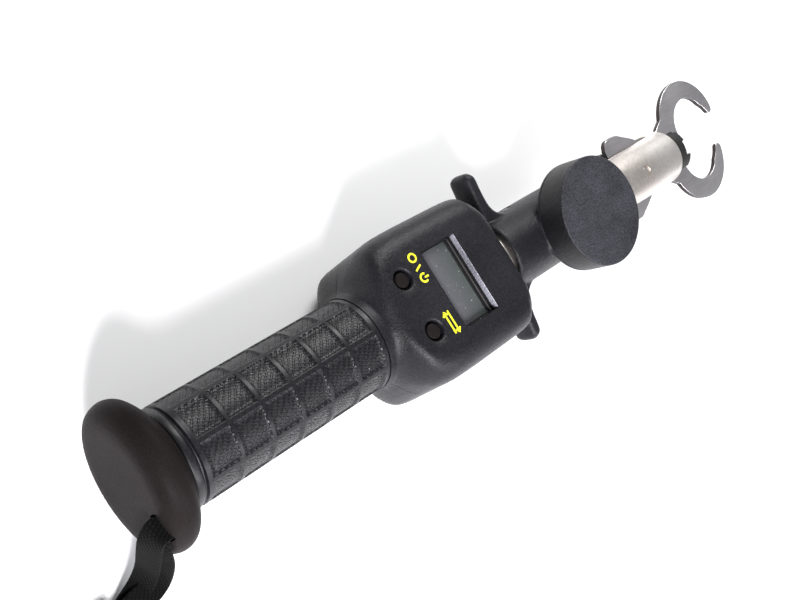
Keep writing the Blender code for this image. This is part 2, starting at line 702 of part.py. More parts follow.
# ---------------------------------------------------------------- lanyard


def ribbon(name, rows, look):
    """A strap along rows of x, y, z and the width direction there, with square edges."""
    rings = []
    for index, row in enumerate(rows):
        here = Vector(row[:3])
        before = Vector(rows[max(index - 1, 0)][:3])
        after = Vector(rows[min(index + 1, len(rows) - 1)][:3])
        along = (after - before).normalized()
        across = Vector(row[3:])
        across = (across - across.dot(along) * along).normalized() * STRAP_WIDTH / 2
        normal = along.cross(across).normalized() * STRAP_THICKNESS / 2
        rings.append(
            [here + across + normal, here - across + normal, here - across - normal,
             here + across - normal]
        )
    return loft(name, rings, look)


def lanyard_route():
    """The strap from inside the cap's slot, round the hand loop and back to the slot.

    Each row holds the middle of the strap and its width direction. It leaves the butt
    face, hangs over the rim, passes the keeper on the table, opens into a loop that
    stands on its edge, and comes back through the keeper and over the rim.
    """
    slot_y, slot_z = STRAP_SLOT
    ahead, aside = KEEPER_DIRECTION, (-KEEPER_DIRECTION[1], KEEPER_DIRECTION[0])
    above, below = slot_z + STRAP_PITCH / 2, slot_z - STRAP_PITCH / 2
    route = [
        (6.4, slot_y, above, 0, -1, 0),
        (0.4, slot_y, above, 0, -1, 0),
        (-2.3, slot_y - 0.3, above - 0.5, 0.15, -0.95, 0.2),
        (-3.4, -16.4, 4.8, 0.35, -0.8, 0.4),
        (-3.1, -19.4, -3.0, 0.35, -0.85, 0.35),
        (-2.9, -22.4, -10.5, 0.3, -0.92, 0.2),
        (-4.8, -25.4, -16.8, 0.2, -0.97, 0.05),
        (-9.4, -28.2, -20.7, 0.3, -0.95, 0),
    ]

    def on_table(reach, offset, height, flat, upright):
        """A row at a reach and sideways offset from the keeper."""
        x = KEEPER[0] + reach * ahead[0] + offset * aside[0]
        y = KEEPER[1] + reach * ahead[1] + offset * aside[1]
        return (x, y, height, flat * aside[0], flat * aside[1], upright)

    stand = -FLANGE_RADIUS + STRAP_WIDTH / 2 + 0.1
    route.append(on_table(-4.5, 0, KEEPER_LEVELS[0], 1, 0))
    route.append(on_table(4.5, 0, KEEPER_LEVELS[0], 1, 0))
    route.append(on_table(17, 2.5, stand - 0.4, 0.8, 0.6))
    for reach, offset in LOOP_HALF:
        route.append(on_table(reach, offset, stand, 0, 1))
    route.append(on_table(LOOP_REACH, 0, stand, 0, 1))
    for reach, offset in reversed(LOOP_HALF):
        route.append(on_table(reach, -offset, stand, 0, 1))
    route.append(on_table(17, -2.5, stand - 0.1, -0.8, 0.6))
    route.append(on_table(4.5, 0, KEEPER_LEVELS[1], -1, 0))
    route.append(on_table(-4.5, 0, KEEPER_LEVELS[1], -1, 0))
    route += [
        (-8.6, -29.0, -17.8, -0.3, 0.95, 0),
        (-2.6, -27.2, -14.6, -0.25, 0.96, -0.05),
        (-0.3, -24.8, -9.6, -0.3, 0.92, -0.2),
        (-0.2, -21.6, -2.4, -0.35, 0.85, -0.35),
        (-1.1, -18.0, 3.4, -0.35, 0.82, -0.4),
        (-0.8, slot_y - 0.5, below - 0.6, -0.1, 0.98, -0.1),
        (0.4, slot_y, below, 0, 1, 0),
        (6.4, slot_y, below, 0, 1, 0),
    ]
    return route


def make_lanyard():
    ribbon("lanyard_strap", smooth_path(lanyard_route(), 3), webbing)
    side, up = STRAP_WIDTH / 2 + 1.4, 2.9
    middle = -FLANGE_RADIUS + 0.1 + up
    keeper = box("lanyard_keeper", (-4.0, -side, -up), (4.0, side, up), black_rubber)
    hole = box("keeper_hole", (-9, -side + 1.0, -up + 0.9), (9, side - 1.0, up - 0.9), cutter=True)
    turn = math.atan2(KEEPER_DIRECTION[1], KEEPER_DIRECTION[0])
    for piece in (keeper, hole):
        piece.location = (KEEPER[0] * MM, KEEPER[1] * MM, middle * MM)
        piece.rotation_euler = (0, 0, turn)
    cut(keeper, hole)


# ---------------------------------------------------------------- assembly

clear_scene()
parts = new_collection("digital_fish_scale")
cutters = new_collection("cutters")

plastic = new_material("black_abs", (0.022, 0.022, 0.025), 0.45)
rubber = new_material("black_rubber_grip", (0.018, 0.018, 0.020), 0.6)
black_rubber = new_material("black_insert", (0.010, 0.010, 0.010), 0.55)
stainless = new_material("satin_tube", (0.62, 0.59, 0.55), 0.32, 1.0)
brushed_steel = new_material("brushed_jaw_steel", (0.45, 0.44, 0.44), 0.35, 1.0)
steel = new_material("plain_steel", (0.55, 0.55, 0.56), 0.3, 1.0)
aluminium = new_material("aluminium", (0.70, 0.70, 0.72), 0.4, 1.0)
brass = new_material("brass", (0.72, 0.55, 0.25), 0.35, 1.0)
board_green = new_material("circuit_board_green", (0.02, 0.16, 0.06), 0.5)
lcd_grey = new_material("lcd_glass", (0.14, 0.14, 0.15), 0.2)
clear_plastic = new_material("clear_window", (0.20, 0.20, 0.22), 0.1)
battery_wrap = new_material("battery_wrap", (0.05, 0.09, 0.20), 0.35)
red_wire = new_material("wire_red", (0.45, 0.02, 0.02), 0.5)
white_plastic = new_material("white_nylon", (0.70, 0.70, 0.68), 0.5)
tape_yellow = new_material("tape_yellow", (0.75, 0.55, 0.05), 0.4)
webbing = new_material("black_webbing", (0.012, 0.012, 0.014), 0.8)

grip_head = new_empty("grip_head", roll=SWIVEL_REST)
make_butt_cap()
make_handle()
make_housing()
make_electronics()
make_load_cell()
make_head(grip_head)
make_jaw("left_jaw", 1, grip_head)
make_jaw("right_jaw", -1, grip_head)
make_trigger(grip_head)
make_lanyard()
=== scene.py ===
"""Looks for the digital fish scale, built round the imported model. Sizes are in millimetres."""

import math

import bmesh
import bpy
from mathutils import Matrix, Vector


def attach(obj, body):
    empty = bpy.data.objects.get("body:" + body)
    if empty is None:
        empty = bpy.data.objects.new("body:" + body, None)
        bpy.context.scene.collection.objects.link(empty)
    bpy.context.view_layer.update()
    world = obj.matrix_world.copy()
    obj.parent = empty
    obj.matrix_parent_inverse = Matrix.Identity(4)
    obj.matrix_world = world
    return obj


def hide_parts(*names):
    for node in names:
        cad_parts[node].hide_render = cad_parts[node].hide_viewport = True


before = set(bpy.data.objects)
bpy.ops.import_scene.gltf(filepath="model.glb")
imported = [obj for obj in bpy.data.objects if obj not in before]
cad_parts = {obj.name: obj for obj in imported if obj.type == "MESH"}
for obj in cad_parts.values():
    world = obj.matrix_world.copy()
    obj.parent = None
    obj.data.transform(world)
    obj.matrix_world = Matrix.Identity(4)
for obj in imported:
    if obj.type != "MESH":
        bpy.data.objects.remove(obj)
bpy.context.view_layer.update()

MM = 0.001
HEAD_ROLL = 12.5
FLOOR = -22.9

# Handle
FLANGE_PROFILE = (
    (16.2, 12.4), (17.3, 11.7), (19.6, 10.4), (21.9, 8.5), (22.85, 6.2), (22.6, 3.9), (21.4, 1.8),
    (19.4, 0.5), (17.2, 0.0),
)
GRIP_FLOOR = 15.0
GRIP_BORE = 13.0
RIB_HEIGHT = 0.6
RIB_HALF = 0.55
RIB_SLOPE = 0.3
COLUMN_RIB_HALF = 0.75
TILE_COLUMNS = 8
TILE_ROWS = 6
TILE_START = 17.5
TILE_PITCH = 11.0

# Housing stations: x, half width, top, bottom, corner radius
HOUSING = (
    (84.8, 15.9, 15.9, 15.9, 15.9),
    (87.6, 15.9, 15.9, 15.9, 15.9),
    (89.4, 17.2, 16.6, 17.4, 14.8),
    (91.2, 19.7, 17.9, 19.9, 12.8),
    (93.6, 22.4, 18.85, 22.0, 10.6),
    (97.0, 24.5, 19.0, 22.9, 9.4),
    (104.0, 25.5, 19.0, 22.9, 8.7),
    (120.0, 25.4, 19.0, 22.9, 8.4),
    (136.0, 24.9, 19.0, 22.9, 8.2),
    (139.5, 23.6, 18.8, 22.7, 8.6),
    (142.0, 21.4, 18.0, 21.9, 8.8),
    (143.7, 18.2, 16.4, 20.3, 8.2),
    (144.5, 15.2, 14.4, 18.4, 7.5),
)
WALL = 2.0
BACK_WALL = 3.0
FACE_LEVEL = 19.0
MARK_WIDTH = 0.6
MARK_HALF_THICKNESS = 0.06
BUTTONS = {"power": (100.0, 9.1), "units": (100.0, -9.1)}
SCREWS = ((104.0, 17.2), (104.0, -17.2), (132.0, 17.2), (132.0, -17.2))
DOOR = (96.6, 139.5, 12.6, 1.5)

# Head
TUBE = (145.2, 255.5, 11.0, 10.0)
PIVOT_X = 232.0
JAW_HALF = 1.0
JAW_LEVEL = 1.15
ARM_END = 223.9
HOOK_LEAN = 0.022
LEAN_START = 15.0
PLUG_RADIUS = 9.7
INSERT_FLAT = 5.4
INSERT_END = 261.1
INSERT_CLAWS = ((44, 74, 262.5), (109, 143, 263.6))
DRUM_X = 185.0
DRUM_RADIUS = 19.5
DRUM_TOP = 24.3
TRIGGER_PIN_X = 166.0
TRIGGER_TRAVEL = 2.2

# Strap
STRAP = (7.5, 1.5)
SLOT = (-14.2, 8.4)
STRAP_PITCH = 1.9
SLOT_DEPTH = 8.0
KEEPER = (-20.0, -30.5)
KEEPER_DIRECTION = (-0.993, 0.119)
KEEPER_LEVELS = (-20.85, -18.95)
LOOP_HALF = ((31.0, 7.5), (53.0, 13.5), (78.0, 16.0), (98.0, 14.6), (110.0, 9.0))
LOOP_REACH = 116.0


# ---------------------------------------------------------------- mesh tools


def piece(name, bm, angle=35):
    """A new object from a bmesh in millimetres, smooth except past the angle."""
    bmesh.ops.remove_doubles(bm, verts=bm.verts, dist=1e-5)
    bmesh.ops.recalc_face_normals(bm, faces=bm.faces)
    bmesh.ops.scale(bm, vec=(MM, MM, MM), verts=bm.verts)
    mesh = bpy.data.meshes.new(name)
    bm.to_mesh(mesh)
    bm.free()
    obj = bpy.data.objects.new(name, mesh)
    bpy.context.scene.collection.objects.link(obj)
    mesh.shade_smooth()
    mesh.set_sharp_from_angle(angle=math.radians(angle))
    return obj


def rings_mesh(rings, closed_along=False, capped=True):
    """A bmesh skin over rings of equal point counts."""
    bm = bmesh.new()
    loops = [[bm.verts.new(point) for point in ring] for ring in rings]
    count = len(loops[0])
    pairs = list(zip(loops, loops[1:]))
    if closed_along:
        pairs.append((loops[-1], loops[0]))
    for near, far in pairs:
        for i in range(count):
            j = (i + 1) % count
            bm.faces.new((near[i], near[j], far[j], far[i]))
    if capped and not closed_along:
        bm.faces.new(loops[0])
        bm.faces.new(loops[-1])
    return bm


def lathe(name, profile, sides=96, upright=None, closed=False, angle=35):
    """Turns (radius, along) about X, or about a vertical line through upright."""
    rings = []
    for radius, along in profile:
        ring = []
        for i in range(sides):
            a = math.tau * i / sides
            u, v = radius * math.cos(a), radius * math.sin(a)
            ring.append((along, u, v) if upright is None else (upright[0] + u, upright[1] + v, along))
        rings.append(ring)
    return piece(name, rings_mesh(rings, closed_along=closed, capped=False), angle)


def soften(points, cut, steps=4):
    """Rounds the corners of an outline, each by a small curve that starts cut before it."""
    result = []
    for i, point in enumerate(points):
        p, a, b = Vector(point), Vector(points[i - 1]), Vector(points[(i + 1) % len(points)])
        start = p + (a - p) * min(cut / (a - p).length, 0.45)
        end = p + (b - p) * min(cut / (b - p).length, 0.45)
        for k in range(steps + 1):
            t = k / steps
            result.append(tuple((1 - t) ** 2 * start + 2 * t * (1 - t) * p + t * t * end))
    return result


def smooth_path(points, per_span):
    """A Catmull-Rom curve through tuples of any length."""
    first = [2 * a - b for a, b in zip(points[0], points[1])]
    last = [2 * a - b for a, b in zip(points[-1], points[-2])]
    line = [first, *points, last]
    path = []
    for p0, p1, p2, p3 in zip(line, line[1:], line[2:], line[3:]):
        for step in range(per_span):
            t = step / per_span
            path.append(
                [
                    0.5 * (2 * b + (c - a) * t + (2 * a - 5 * b + 4 * c - d) * t**2
                           + (3 * b - a - 3 * c + d) * t**3)
                    for a, b, c, d in zip(p0, p1, p2, p3)
                ]
            )
    path.append(list(points[-1]))
    return path


def arc(centre, radius, start, end, count):
    """Points on a circle between two angles in degrees."""
    angles = [math.radians(start + (end - start) * i / (count - 1)) for i in range(count)]
    return [(centre[0] + radius * math.cos(a), centre[1] + radius * math.sin(a)) for a in angles]


def prism(name, outline, low, high, bevel=0.0, steps=3, angle=35):
    """An outline in XY between two heights, with rounded top and bottom edges."""
    bm = bmesh.new()
    base = [bm.verts.new((x, y, low)) for x, y in outline]
    face = bm.faces.new(base)
    moved = bmesh.ops.extrude_face_region(bm, geom=[face])["geom"]
    top = [v for v in moved if isinstance(v, bmesh.types.BMVert)]
    bmesh.ops.translate(bm, vec=(0, 0, high - low), verts=top)
    if bevel:
        edges = [e for e in bm.edges if abs(e.verts[0].co.z - e.verts[1].co.z) < 1e-6]
        bmesh.ops.bevel(bm, geom=edges, offset=bevel, segments=steps, profile=0.6, affect="EDGES",
                        clamp_overlap=True)
    return piece(name, bm, angle)


def slab(name, low, high, bevel=0.3, steps=3):
    """A box between two corners with all its edges rounded."""
    bm = bmesh.new()
    bmesh.ops.create_cube(bm, size=1.0)
    low, high = Vector(low), Vector(high)
    bmesh.ops.scale(bm, vec=high - low, verts=bm.verts)
    bmesh.ops.translate(bm, vec=(low + high) / 2, verts=bm.verts)
    if bevel:
        bmesh.ops.bevel(bm, geom=bm.edges[:], offset=bevel, segments=steps, profile=0.5,
                        affect="EDGES", clamp_overlap=True)
    return piece(name, bm)


def bake(obj, angle=35):
    """Applies every modifier of an object to its mesh."""
    graph = bpy.context.evaluated_depsgraph_get()
    mesh = bpy.data.meshes.new_from_object(obj.evaluated_get(graph))
    obj.modifiers.clear()
    old, obj.data = obj.data, mesh
    name = old.name
    bpy.data.meshes.remove(old)
    mesh.name = name
    mesh.shade_smooth()
    mesh.set_sharp_from_angle(angle=math.radians(angle))
    return obj


def carve(obj, *cutters, operation="DIFFERENCE", angle=35):
    """Cuts the cutters out of an object, or joins them to it, and removes them."""
    for cutter in cutters:
        step = obj.modifiers.new("carve", "BOOLEAN")
        step.operation, step.solver, step.object = operation, "EXACT", cutter
    bpy.context.view_layer.update()
    bake(obj, angle)
    for cutter in cutters:
        bpy.data.objects.remove(cutter, do_unlink=True)
    return obj


def rolled(obj):
    """Turns a piece of the head about the long axis to where it stands at rest."""
    obj.data.transform(Matrix.Rotation(math.radians(HEAD_ROLL), 4, "X"))
    return obj


def dress(obj, look, body, slot, *nodes):
    """Gives a piece its material and its body, and hides the CAD nodes that it stands for; its slot is not
    used.
    """
    obj.data.materials.clear()
    obj.data.materials.append(look)
    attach(obj, body)
    if nodes:
        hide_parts(*nodes)
    return obj


# ---------------------------------------------------------------- materials


class Look:
    """A node material with a Principled shader and short ways to add to it."""

    def __init__(self, name, colour, roughness, metallic=0.0, **sockets):
        self.material = bpy.data.materials.new(name)
        self.material.use_nodes = True
        self.tree = self.material.node_tree
        self.shader = self.tree.nodes["Principled BSDF"]
        self.set("Base Color", (*colour, 1.0))
        self.set("Roughness", roughness)
        self.set("Metallic", metallic)
        for socket, value in sockets.items():
            self.set(socket.replace("_", " "), value)
        self.place = self.node("ShaderNodeTexCoord").outputs["Object"]
        self.bumps = None

    def set(self, socket, value):
        self.shader.inputs[socket].default_value = value

    def node(self, kind, links=(), **settings):
        made = self.tree.nodes.new(kind)
        for key, value in settings.items():
            if hasattr(made, key):
                setattr(made, key, value)
            else:
                made.inputs[key.replace("_", " ")].default_value = value
        for socket, source in dict(links).items():
            self.tree.links.new(source, made.inputs[socket])
        return made

    def noise(self, scale, detail=2.0, roughness=0.5, stretch=None):
        place = self.place
        if stretch:
            place = self.node("ShaderNodeMapping", {"Vector": place}, Scale=stretch).outputs[0]
        return self.node(
            "ShaderNodeTexNoise", {"Vector": place}, Scale=scale, Detail=detail, Roughness=roughness
        ).outputs["Fac"]

    def remap(self, source, low, high, to_low=0.0, to_high=1.0):
        made = self.node("ShaderNodeMapRange", {"Value": source})
        for index, value in enumerate((low, high, to_low, to_high), 1):
            made.inputs[index].default_value = value
        return made.outputs[0]

    def math(self, operation, a, b):
        made = self.node("ShaderNodeMath", operation=operation)
        for index, value in enumerate((a, b)):
            if isinstance(value, (int, float)):
                made.inputs[index].default_value = value
            else:
                self.tree.links.new(value, made.inputs[index])
        return made.outputs[0]

    def tint(self, source, low, high):
        """Colours the base from low to high along source."""
        ramp = self.node("ShaderNodeValToRGB", {"Fac": source})
        ramp.color_ramp.elements[0].color = (*low, 1.0)
        ramp.color_ramp.elements[1].color = (*high, 1.0)
        self.tree.links.new(ramp.outputs["Color"], self.shader.inputs["Base Color"])
        return ramp.outputs["Color"]

    def paint_wall_shade(self, side, face, upright, level):
        """Paints upright walls a plain colour as painted shade, and gives level faces the colour output face.
        """
        normal = self.node("ShaderNodeTexCoord").outputs["Normal"]
        upward = self.math("ABSOLUTE", self.node("ShaderNodeSeparateXYZ", {"Vector": normal}).outputs["Z"], 0)
        mix = self.node("ShaderNodeMix", data_type="RGBA")
        mix.inputs[6].default_value = (*side, 1.0)
        self.tree.links.new(self.remap(upward, upright, level), mix.inputs[0])
        self.tree.links.new(face, mix.inputs[7])
        self.tree.links.new(mix.outputs[2], self.shader.inputs["Base Color"])

    def rough(self, source, low, high):
        self.tree.links.new(self.remap(source, 0.25, 0.75, low, high), self.shader.inputs["Roughness"])

    def bump(self, source, height):
        """Adds a bump of that height in millimetres over those already there."""
        made = self.node("ShaderNodeBump", {"Height": source}, Strength=1.0)
        made.inputs["Distance"].default_value = height * MM
        if self.bumps is not None:
            self.tree.links.new(self.bumps, made.inputs["Normal"])
        self.bumps = made.outputs["Normal"]
        self.tree.links.new(self.bumps, self.shader.inputs["Normal"])


def moulded(name, low, high, roughness, grain, depth, spread=0.06, shine=0.2, sparkle=(0.35, 0.7), side=None):
    """Moulded plastic with spark grain of that size and depth; side, when given, is a painted shade on its
    upright walls.
    """
    look = Look(name, low, roughness, IOR=1.5, Specular_IOR_Level=shine)
    cloud = look.noise(60, 3)
    fine = look.noise(1000 / grain, 3, 0.7)
    speck = look.noise(1000 / (grain * 0.8), 2, 0.6)
    shade = look.math("ADD", look.math("MULTIPLY", cloud, 0.3), look.math("MULTIPLY", speck, 0.7))
    # The specks tint from low to high; where high is far above low, as on the drum's lid and the window wall,
    # the specks are painted highlights of the grain, elsewhere they are grain tone.
    face = look.tint(look.remap(shade, *sparkle), low, high)
    # Upright walls take side as painted shade, while level faces keep the speckled tint.
    if side:
        look.paint_wall_shade(side, face, 0.5, 0.8)
    look.rough(fine, roughness - spread, roughness + spread)
    look.bump(look.noise(1000 / (grain * 4), 2), depth * 0.8)
    look.bump(fine, depth)
    return look.material


def metal(name, low, high, roughness, stretch, scratch=0.012, clouds=45, spread=0.08, side=None):
    """Worked metal with scratches along one axis; side, when given, is painted shade and painted dark
    reflection on its upright walls.
    """
    look = Look(name, low, roughness, 1.0)
    cloud = look.noise(clouds, 4)
    lines = look.noise(1500, 3, 0.7, stretch=stretch)
    shade = look.math("ADD", look.math("MULTIPLY", cloud, 0.65), look.math("MULTIPLY", lines, 0.35))
    face = look.tint(look.remap(shade, 0.35, 0.65), low, high)
    # Upright walls take side as painted shade and painted reflection of dark surroundings; level faces keep
    # the scratched tint.
    if side:
        look.paint_wall_shade(side, face, 0.25, 0.6)
    wear = look.math("ADD", look.math("MULTIPLY", cloud, 0.5), look.math("MULTIPLY", lines, 0.5))
    look.rough(wear, roughness - spread, roughness + spread)
    look.bump(lines, scratch)
    return look.material


def plain(name, colour, roughness, metallic=0.0, depth=0.02, **sockets):
    """An even material with slight clouds and a fine bump."""
    look = Look(name, colour, roughness, metallic, **sockets)
    cloud = look.noise(300, 3)
    darker, lighter = (tuple(min(1, c * shade) for c in colour) for shade in (0.82, 1.12))
    look.tint(look.remap(cloud, 0.3, 0.7), darker, lighter)
    look.bump(look.noise(2500, 2), depth)
    return look.material


def grip_look():
    """Rubber whose tiles carry a slanting crackle in relief, with the ribs left smooth."""
    look = Look("grip_rubber", (0.006, 0.006, 0.007), 0.42, IOR=1.5, Specular_IOR_Level=0.3)
    across = look.node("ShaderNodeUVMap").outputs["UV"]
    bands = []
    for turn, scale, swing in ((62, 300.0, 2.6), (-38, 190.0, 3.4)):
        spin = look.node("ShaderNodeMapping", {"Vector": across})
        spin.inputs["Rotation"].default_value = (0, 0, math.radians(turn))
        wave = look.node(
            "ShaderNodeTexWave", {"Vector": spin.outputs[0]}, Scale=scale, Distortion=swing, Detail=2.0
        )
        wave.inputs["Detail Scale"].default_value = 1.4
        bands.append(wave.outputs["Fac"])
    cracks = look.remap(look.math("MINIMUM", *bands), 0.05, 0.5)
    panel = look.node("ShaderNodeAttribute", attribute_name="panel").outputs["Fac"]
    height = look.math("MULTIPLY", cracks, panel)
    look.bump(look.noise(1600, 2), 0.03)
    look.bump(height, 0.34)
    look.tint(look.math("MULTIPLY", cracks, 0.8), (0.004, 0.004, 0.005), (0.0095, 0.009, 0.011))
    look.rough(look.noise(500, 2), 0.34, 0.46)
    return look.material


def webbing_look():
    """Narrow woven webbing with a fine twill across it."""
    look = Look("webbing", (0.003, 0.003, 0.003), 0.85, Specular_IOR_Level=0.06)
    look.set("Sheen Weight", 0.03)
    look.set("Sheen Roughness", 0.4)
    uv = look.node("ShaderNodeUVMap").outputs["UV"]
    waves = []
    for turn, scale in ((0, 420.0), (58, 300.0)):
        spin = look.node("ShaderNodeMapping", {"Vector": uv})
        spin.inputs["Rotation"].default_value = (0, 0, math.radians(turn))
        wave = look.node("ShaderNodeTexWave", {"Vector": spin.outputs[0]}, Scale=scale, Distortion=0.6)
        waves.append(wave.outputs["Fac"])
    weave = look.math("MULTIPLY", *waves)
    look.tint(weave, (0.0015, 0.0015, 0.0015), (0.006, 0.006, 0.006))
    look.bump(look.noise(3000, 2), 0.05)
    look.bump(weave, 0.16)
    return look.material


def screen_look():
    """A blank liquid crystal panel: grey with a green cast towards one side and faint dust."""
    look = Look("screen", (0.13, 0.125, 0.15), 0.32, IOR=1.5)
    side = look.node("ShaderNodeSeparateXYZ", {"Vector": look.place}).outputs
    slope = look.remap(side["X"], 0.112, 0.123, 0.0, 0.75)
    glow = look.math("ADD", slope, look.math("MULTIPLY", look.noise(90, 2), 0.3))
    cast = look.node("ShaderNodeValToRGB", {"Fac": glow})
    cast.color_ramp.elements[0].color = (0.17, 0.16, 0.19, 1)
    cast.color_ramp.elements[1].color = (0.075, 0.095, 0.085, 1)
    dust = look.remap(look.noise(1400, 1), 0.72, 0.78)
    mix = look.node("ShaderNodeMix", data_type="RGBA")
    look.tree.links.new(dust, mix.inputs[0])
    look.tree.links.new(cast.outputs[0], mix.inputs[6])
    mix.inputs[7].default_value = (0.5, 0.5, 0.52, 1)
    look.tree.links.new(mix.outputs[2], look.shader.inputs["Base Color"])
    look.bump(look.noise(700, 2), 0.01)
    return look.material


ABS = moulded("black_abs", (0.004, 0.004, 0.005), (0.017, 0.017, 0.020), 0.38, 0.6, 0.13, 0.08)
# The drum lid's level faces get bright specks up to high, partly grain tone and mostly painted highlight of
# the grain; its upright walls get side, a painted shade.
DRUM_ABS = moulded(
    "drum_abs", (0.006, 0.006, 0.008), (0.062, 0.062, 0.074), 0.42, 0.5, 0.18,
    spread=0.08, shine=0.25, sparkle=(0.40, 0.70), side=(0.006, 0.006, 0.007),
)
FLANGE = moulded(
    "flange_rubber", (0.0085, 0.0065, 0.0065), (0.0135, 0.011, 0.011), 0.5, 0.6, 0.05, shine=0.03
)
# A lit copy of the black plastic: its light grey with bright specks is painted highlight for the window's
# front wall.
PAINTED_HIGHLIGHT_WALL = moulded(
    "painted_highlight_wall", (0.08, 0.08, 0.095), (0.46, 0.46, 0.52), 0.5, 0.5, 0.12, shine=0.3, sparkle=(0.38, 0.62)
)
GASKET = plain("gasket", (0.03, 0.026, 0.026), 0.5)
INSERT = plain("black_insert", (0.004, 0.004, 0.004), 0.55)
GRIP = grip_look()
WEBBING = webbing_look()
SCREEN = screen_look()
TUBE_METAL = metal(
    "satin_tube", (0.60, 0.54, 0.49), (0.90, 0.86, 0.82), 0.40, (0.7, 0.5, 0.5), 0.004, clouds=34, spread=0.04
)
# The jaws' upright walls get side, a dark brown painted shade and painted reflection of the dark
# surroundings.
JAW_METAL = metal(
    "jaw_steel", (0.55, 0.525, 0.54), (0.76, 0.74, 0.75), 0.34, (0.08, 1.0, 1.0), 0.01,
    side=(0.05, 0.042, 0.042),
)
STEEL = metal("plain_steel", (0.45, 0.45, 0.46), (0.6, 0.6, 0.61), 0.28, (0.3, 1.0, 1.0), 0.006)
ALUMINIUM = metal("aluminium", (0.68, 0.68, 0.69), (0.78, 0.78, 0.79), 0.32, (0.1, 1.0, 1.0), 0.006)
BRASS = metal("brass", (0.55, 0.40, 0.16), (0.66, 0.50, 0.22), 0.3, (0.1, 1.0, 1.0), 0.006)
BOARD = plain("circuit_board", (0.012, 0.09, 0.035), 0.4)
BATTERY = plain("battery", (0.05, 0.09, 0.16), 0.3)
WIRE = plain("wire", (0.4, 0.012, 0.01), 0.35)
WHITE = plain("white_plastic", (0.7, 0.7, 0.68), 0.45)
TAPE = plain("tape", (0.75, 0.55, 0.03), 0.5)
MARK = plain("yellow_mark", (0.80, 0.78, 0.02), 0.5, depth=0.01)
CLEAR = plain("clear_window", (0.02, 0.02, 0.02), 0.08, depth=0.002, Alpha=0.16)
CLEAR.surface_render_method = "BLENDED"


# ---------------------------------------------------------------- camera, floor and light


def place_camera():
    """Where the camera stands, what it looks at and how far it leans."""
    place = Vector((-91.04, -2.18, 276.61)) * MM
    aim = Vector((108.481, 4.708, 0.0)) * MM
    ahead = (aim - place).normalized()
    level = ahead.cross(Vector((0, 0, 1))).normalized()
    above = level.cross(ahead)
    lean = math.radians(56.494)
    right = level * math.cos(lean) + above * math.sin(lean)
    top = right.cross(ahead)
    data = bpy.data.cameras.new("camera")
    data.sensor_width = 36.0
    data.lens = 47.51
    data.clip_start = 0.01
    camera = bpy.data.objects.new("camera", data)
    bpy.context.scene.collection.objects.link(camera)
    basis = Matrix((right, top, -ahead)).transposed()
    camera.matrix_world = Matrix.Translation(place) @ basis.to_4x4()
    bpy.context.scene.camera = camera


def lamp(name, place, aim, size, power, colour=(1, 1, 1)):
    """A rectangular light that faces aim."""
    data = bpy.data.lights.new(name, "AREA")
    data.shape = "RECTANGLE"
    data.size, data.size_y = (edge * MM for edge in size)
    data.energy = power
    data.color = colour
    obj = bpy.data.objects.new(name, data)
    bpy.context.scene.collection.objects.link(obj)
    obj.location = Vector(place) * MM
    obj.rotation_euler = (Vector(aim) - Vector(place)).to_track_quat("-Z", "Y").to_euler()


def light_stage():
    """A white floor, an even sky and three soft lights."""
    bm = bmesh.new()
    half, level = 3000.0, FLOOR - 0.1
    corners = ((-half, -half), (half, -half), (half, half), (-half, half))
    bm.faces.new([bm.verts.new((x, y, level)) for x, y in corners])
    ground = piece("floor", bm)
    look = Look("floor", (0.93, 0.93, 0.93), 0.9)
    look.tint(look.noise(8, 2), (0.92, 0.92, 0.92), (0.95, 0.95, 0.95))
    ground.data.materials.append(look.material)
    world = bpy.data.worlds.new("studio")
    bpy.context.scene.world = world
    world.use_nodes = True
    background = world.node_tree.nodes["Background"]
    background.inputs["Color"].default_value = (0.97, 0.98, 1.0, 1)
    background.inputs["Strength"].default_value = 0.36
    bpy.context.scene.view_settings.view_transform = "Standard"
    lamp("key", (-330, -380, 430), (110, 0, 0), (150, 190), 9.0, (0.99, 0.97, 1.0))
    lamp("side", (120, -560, 330), (130, 0, 0), (500, 260), 4.0, (0.95, 0.96, 1.0))
    lamp("back", (420, 420, 420), (150, 0, 0), (300, 300), 4.0, (1, 1, 1))


place_camera()
light_stage()


# ---------------------------------------------------------------- strap


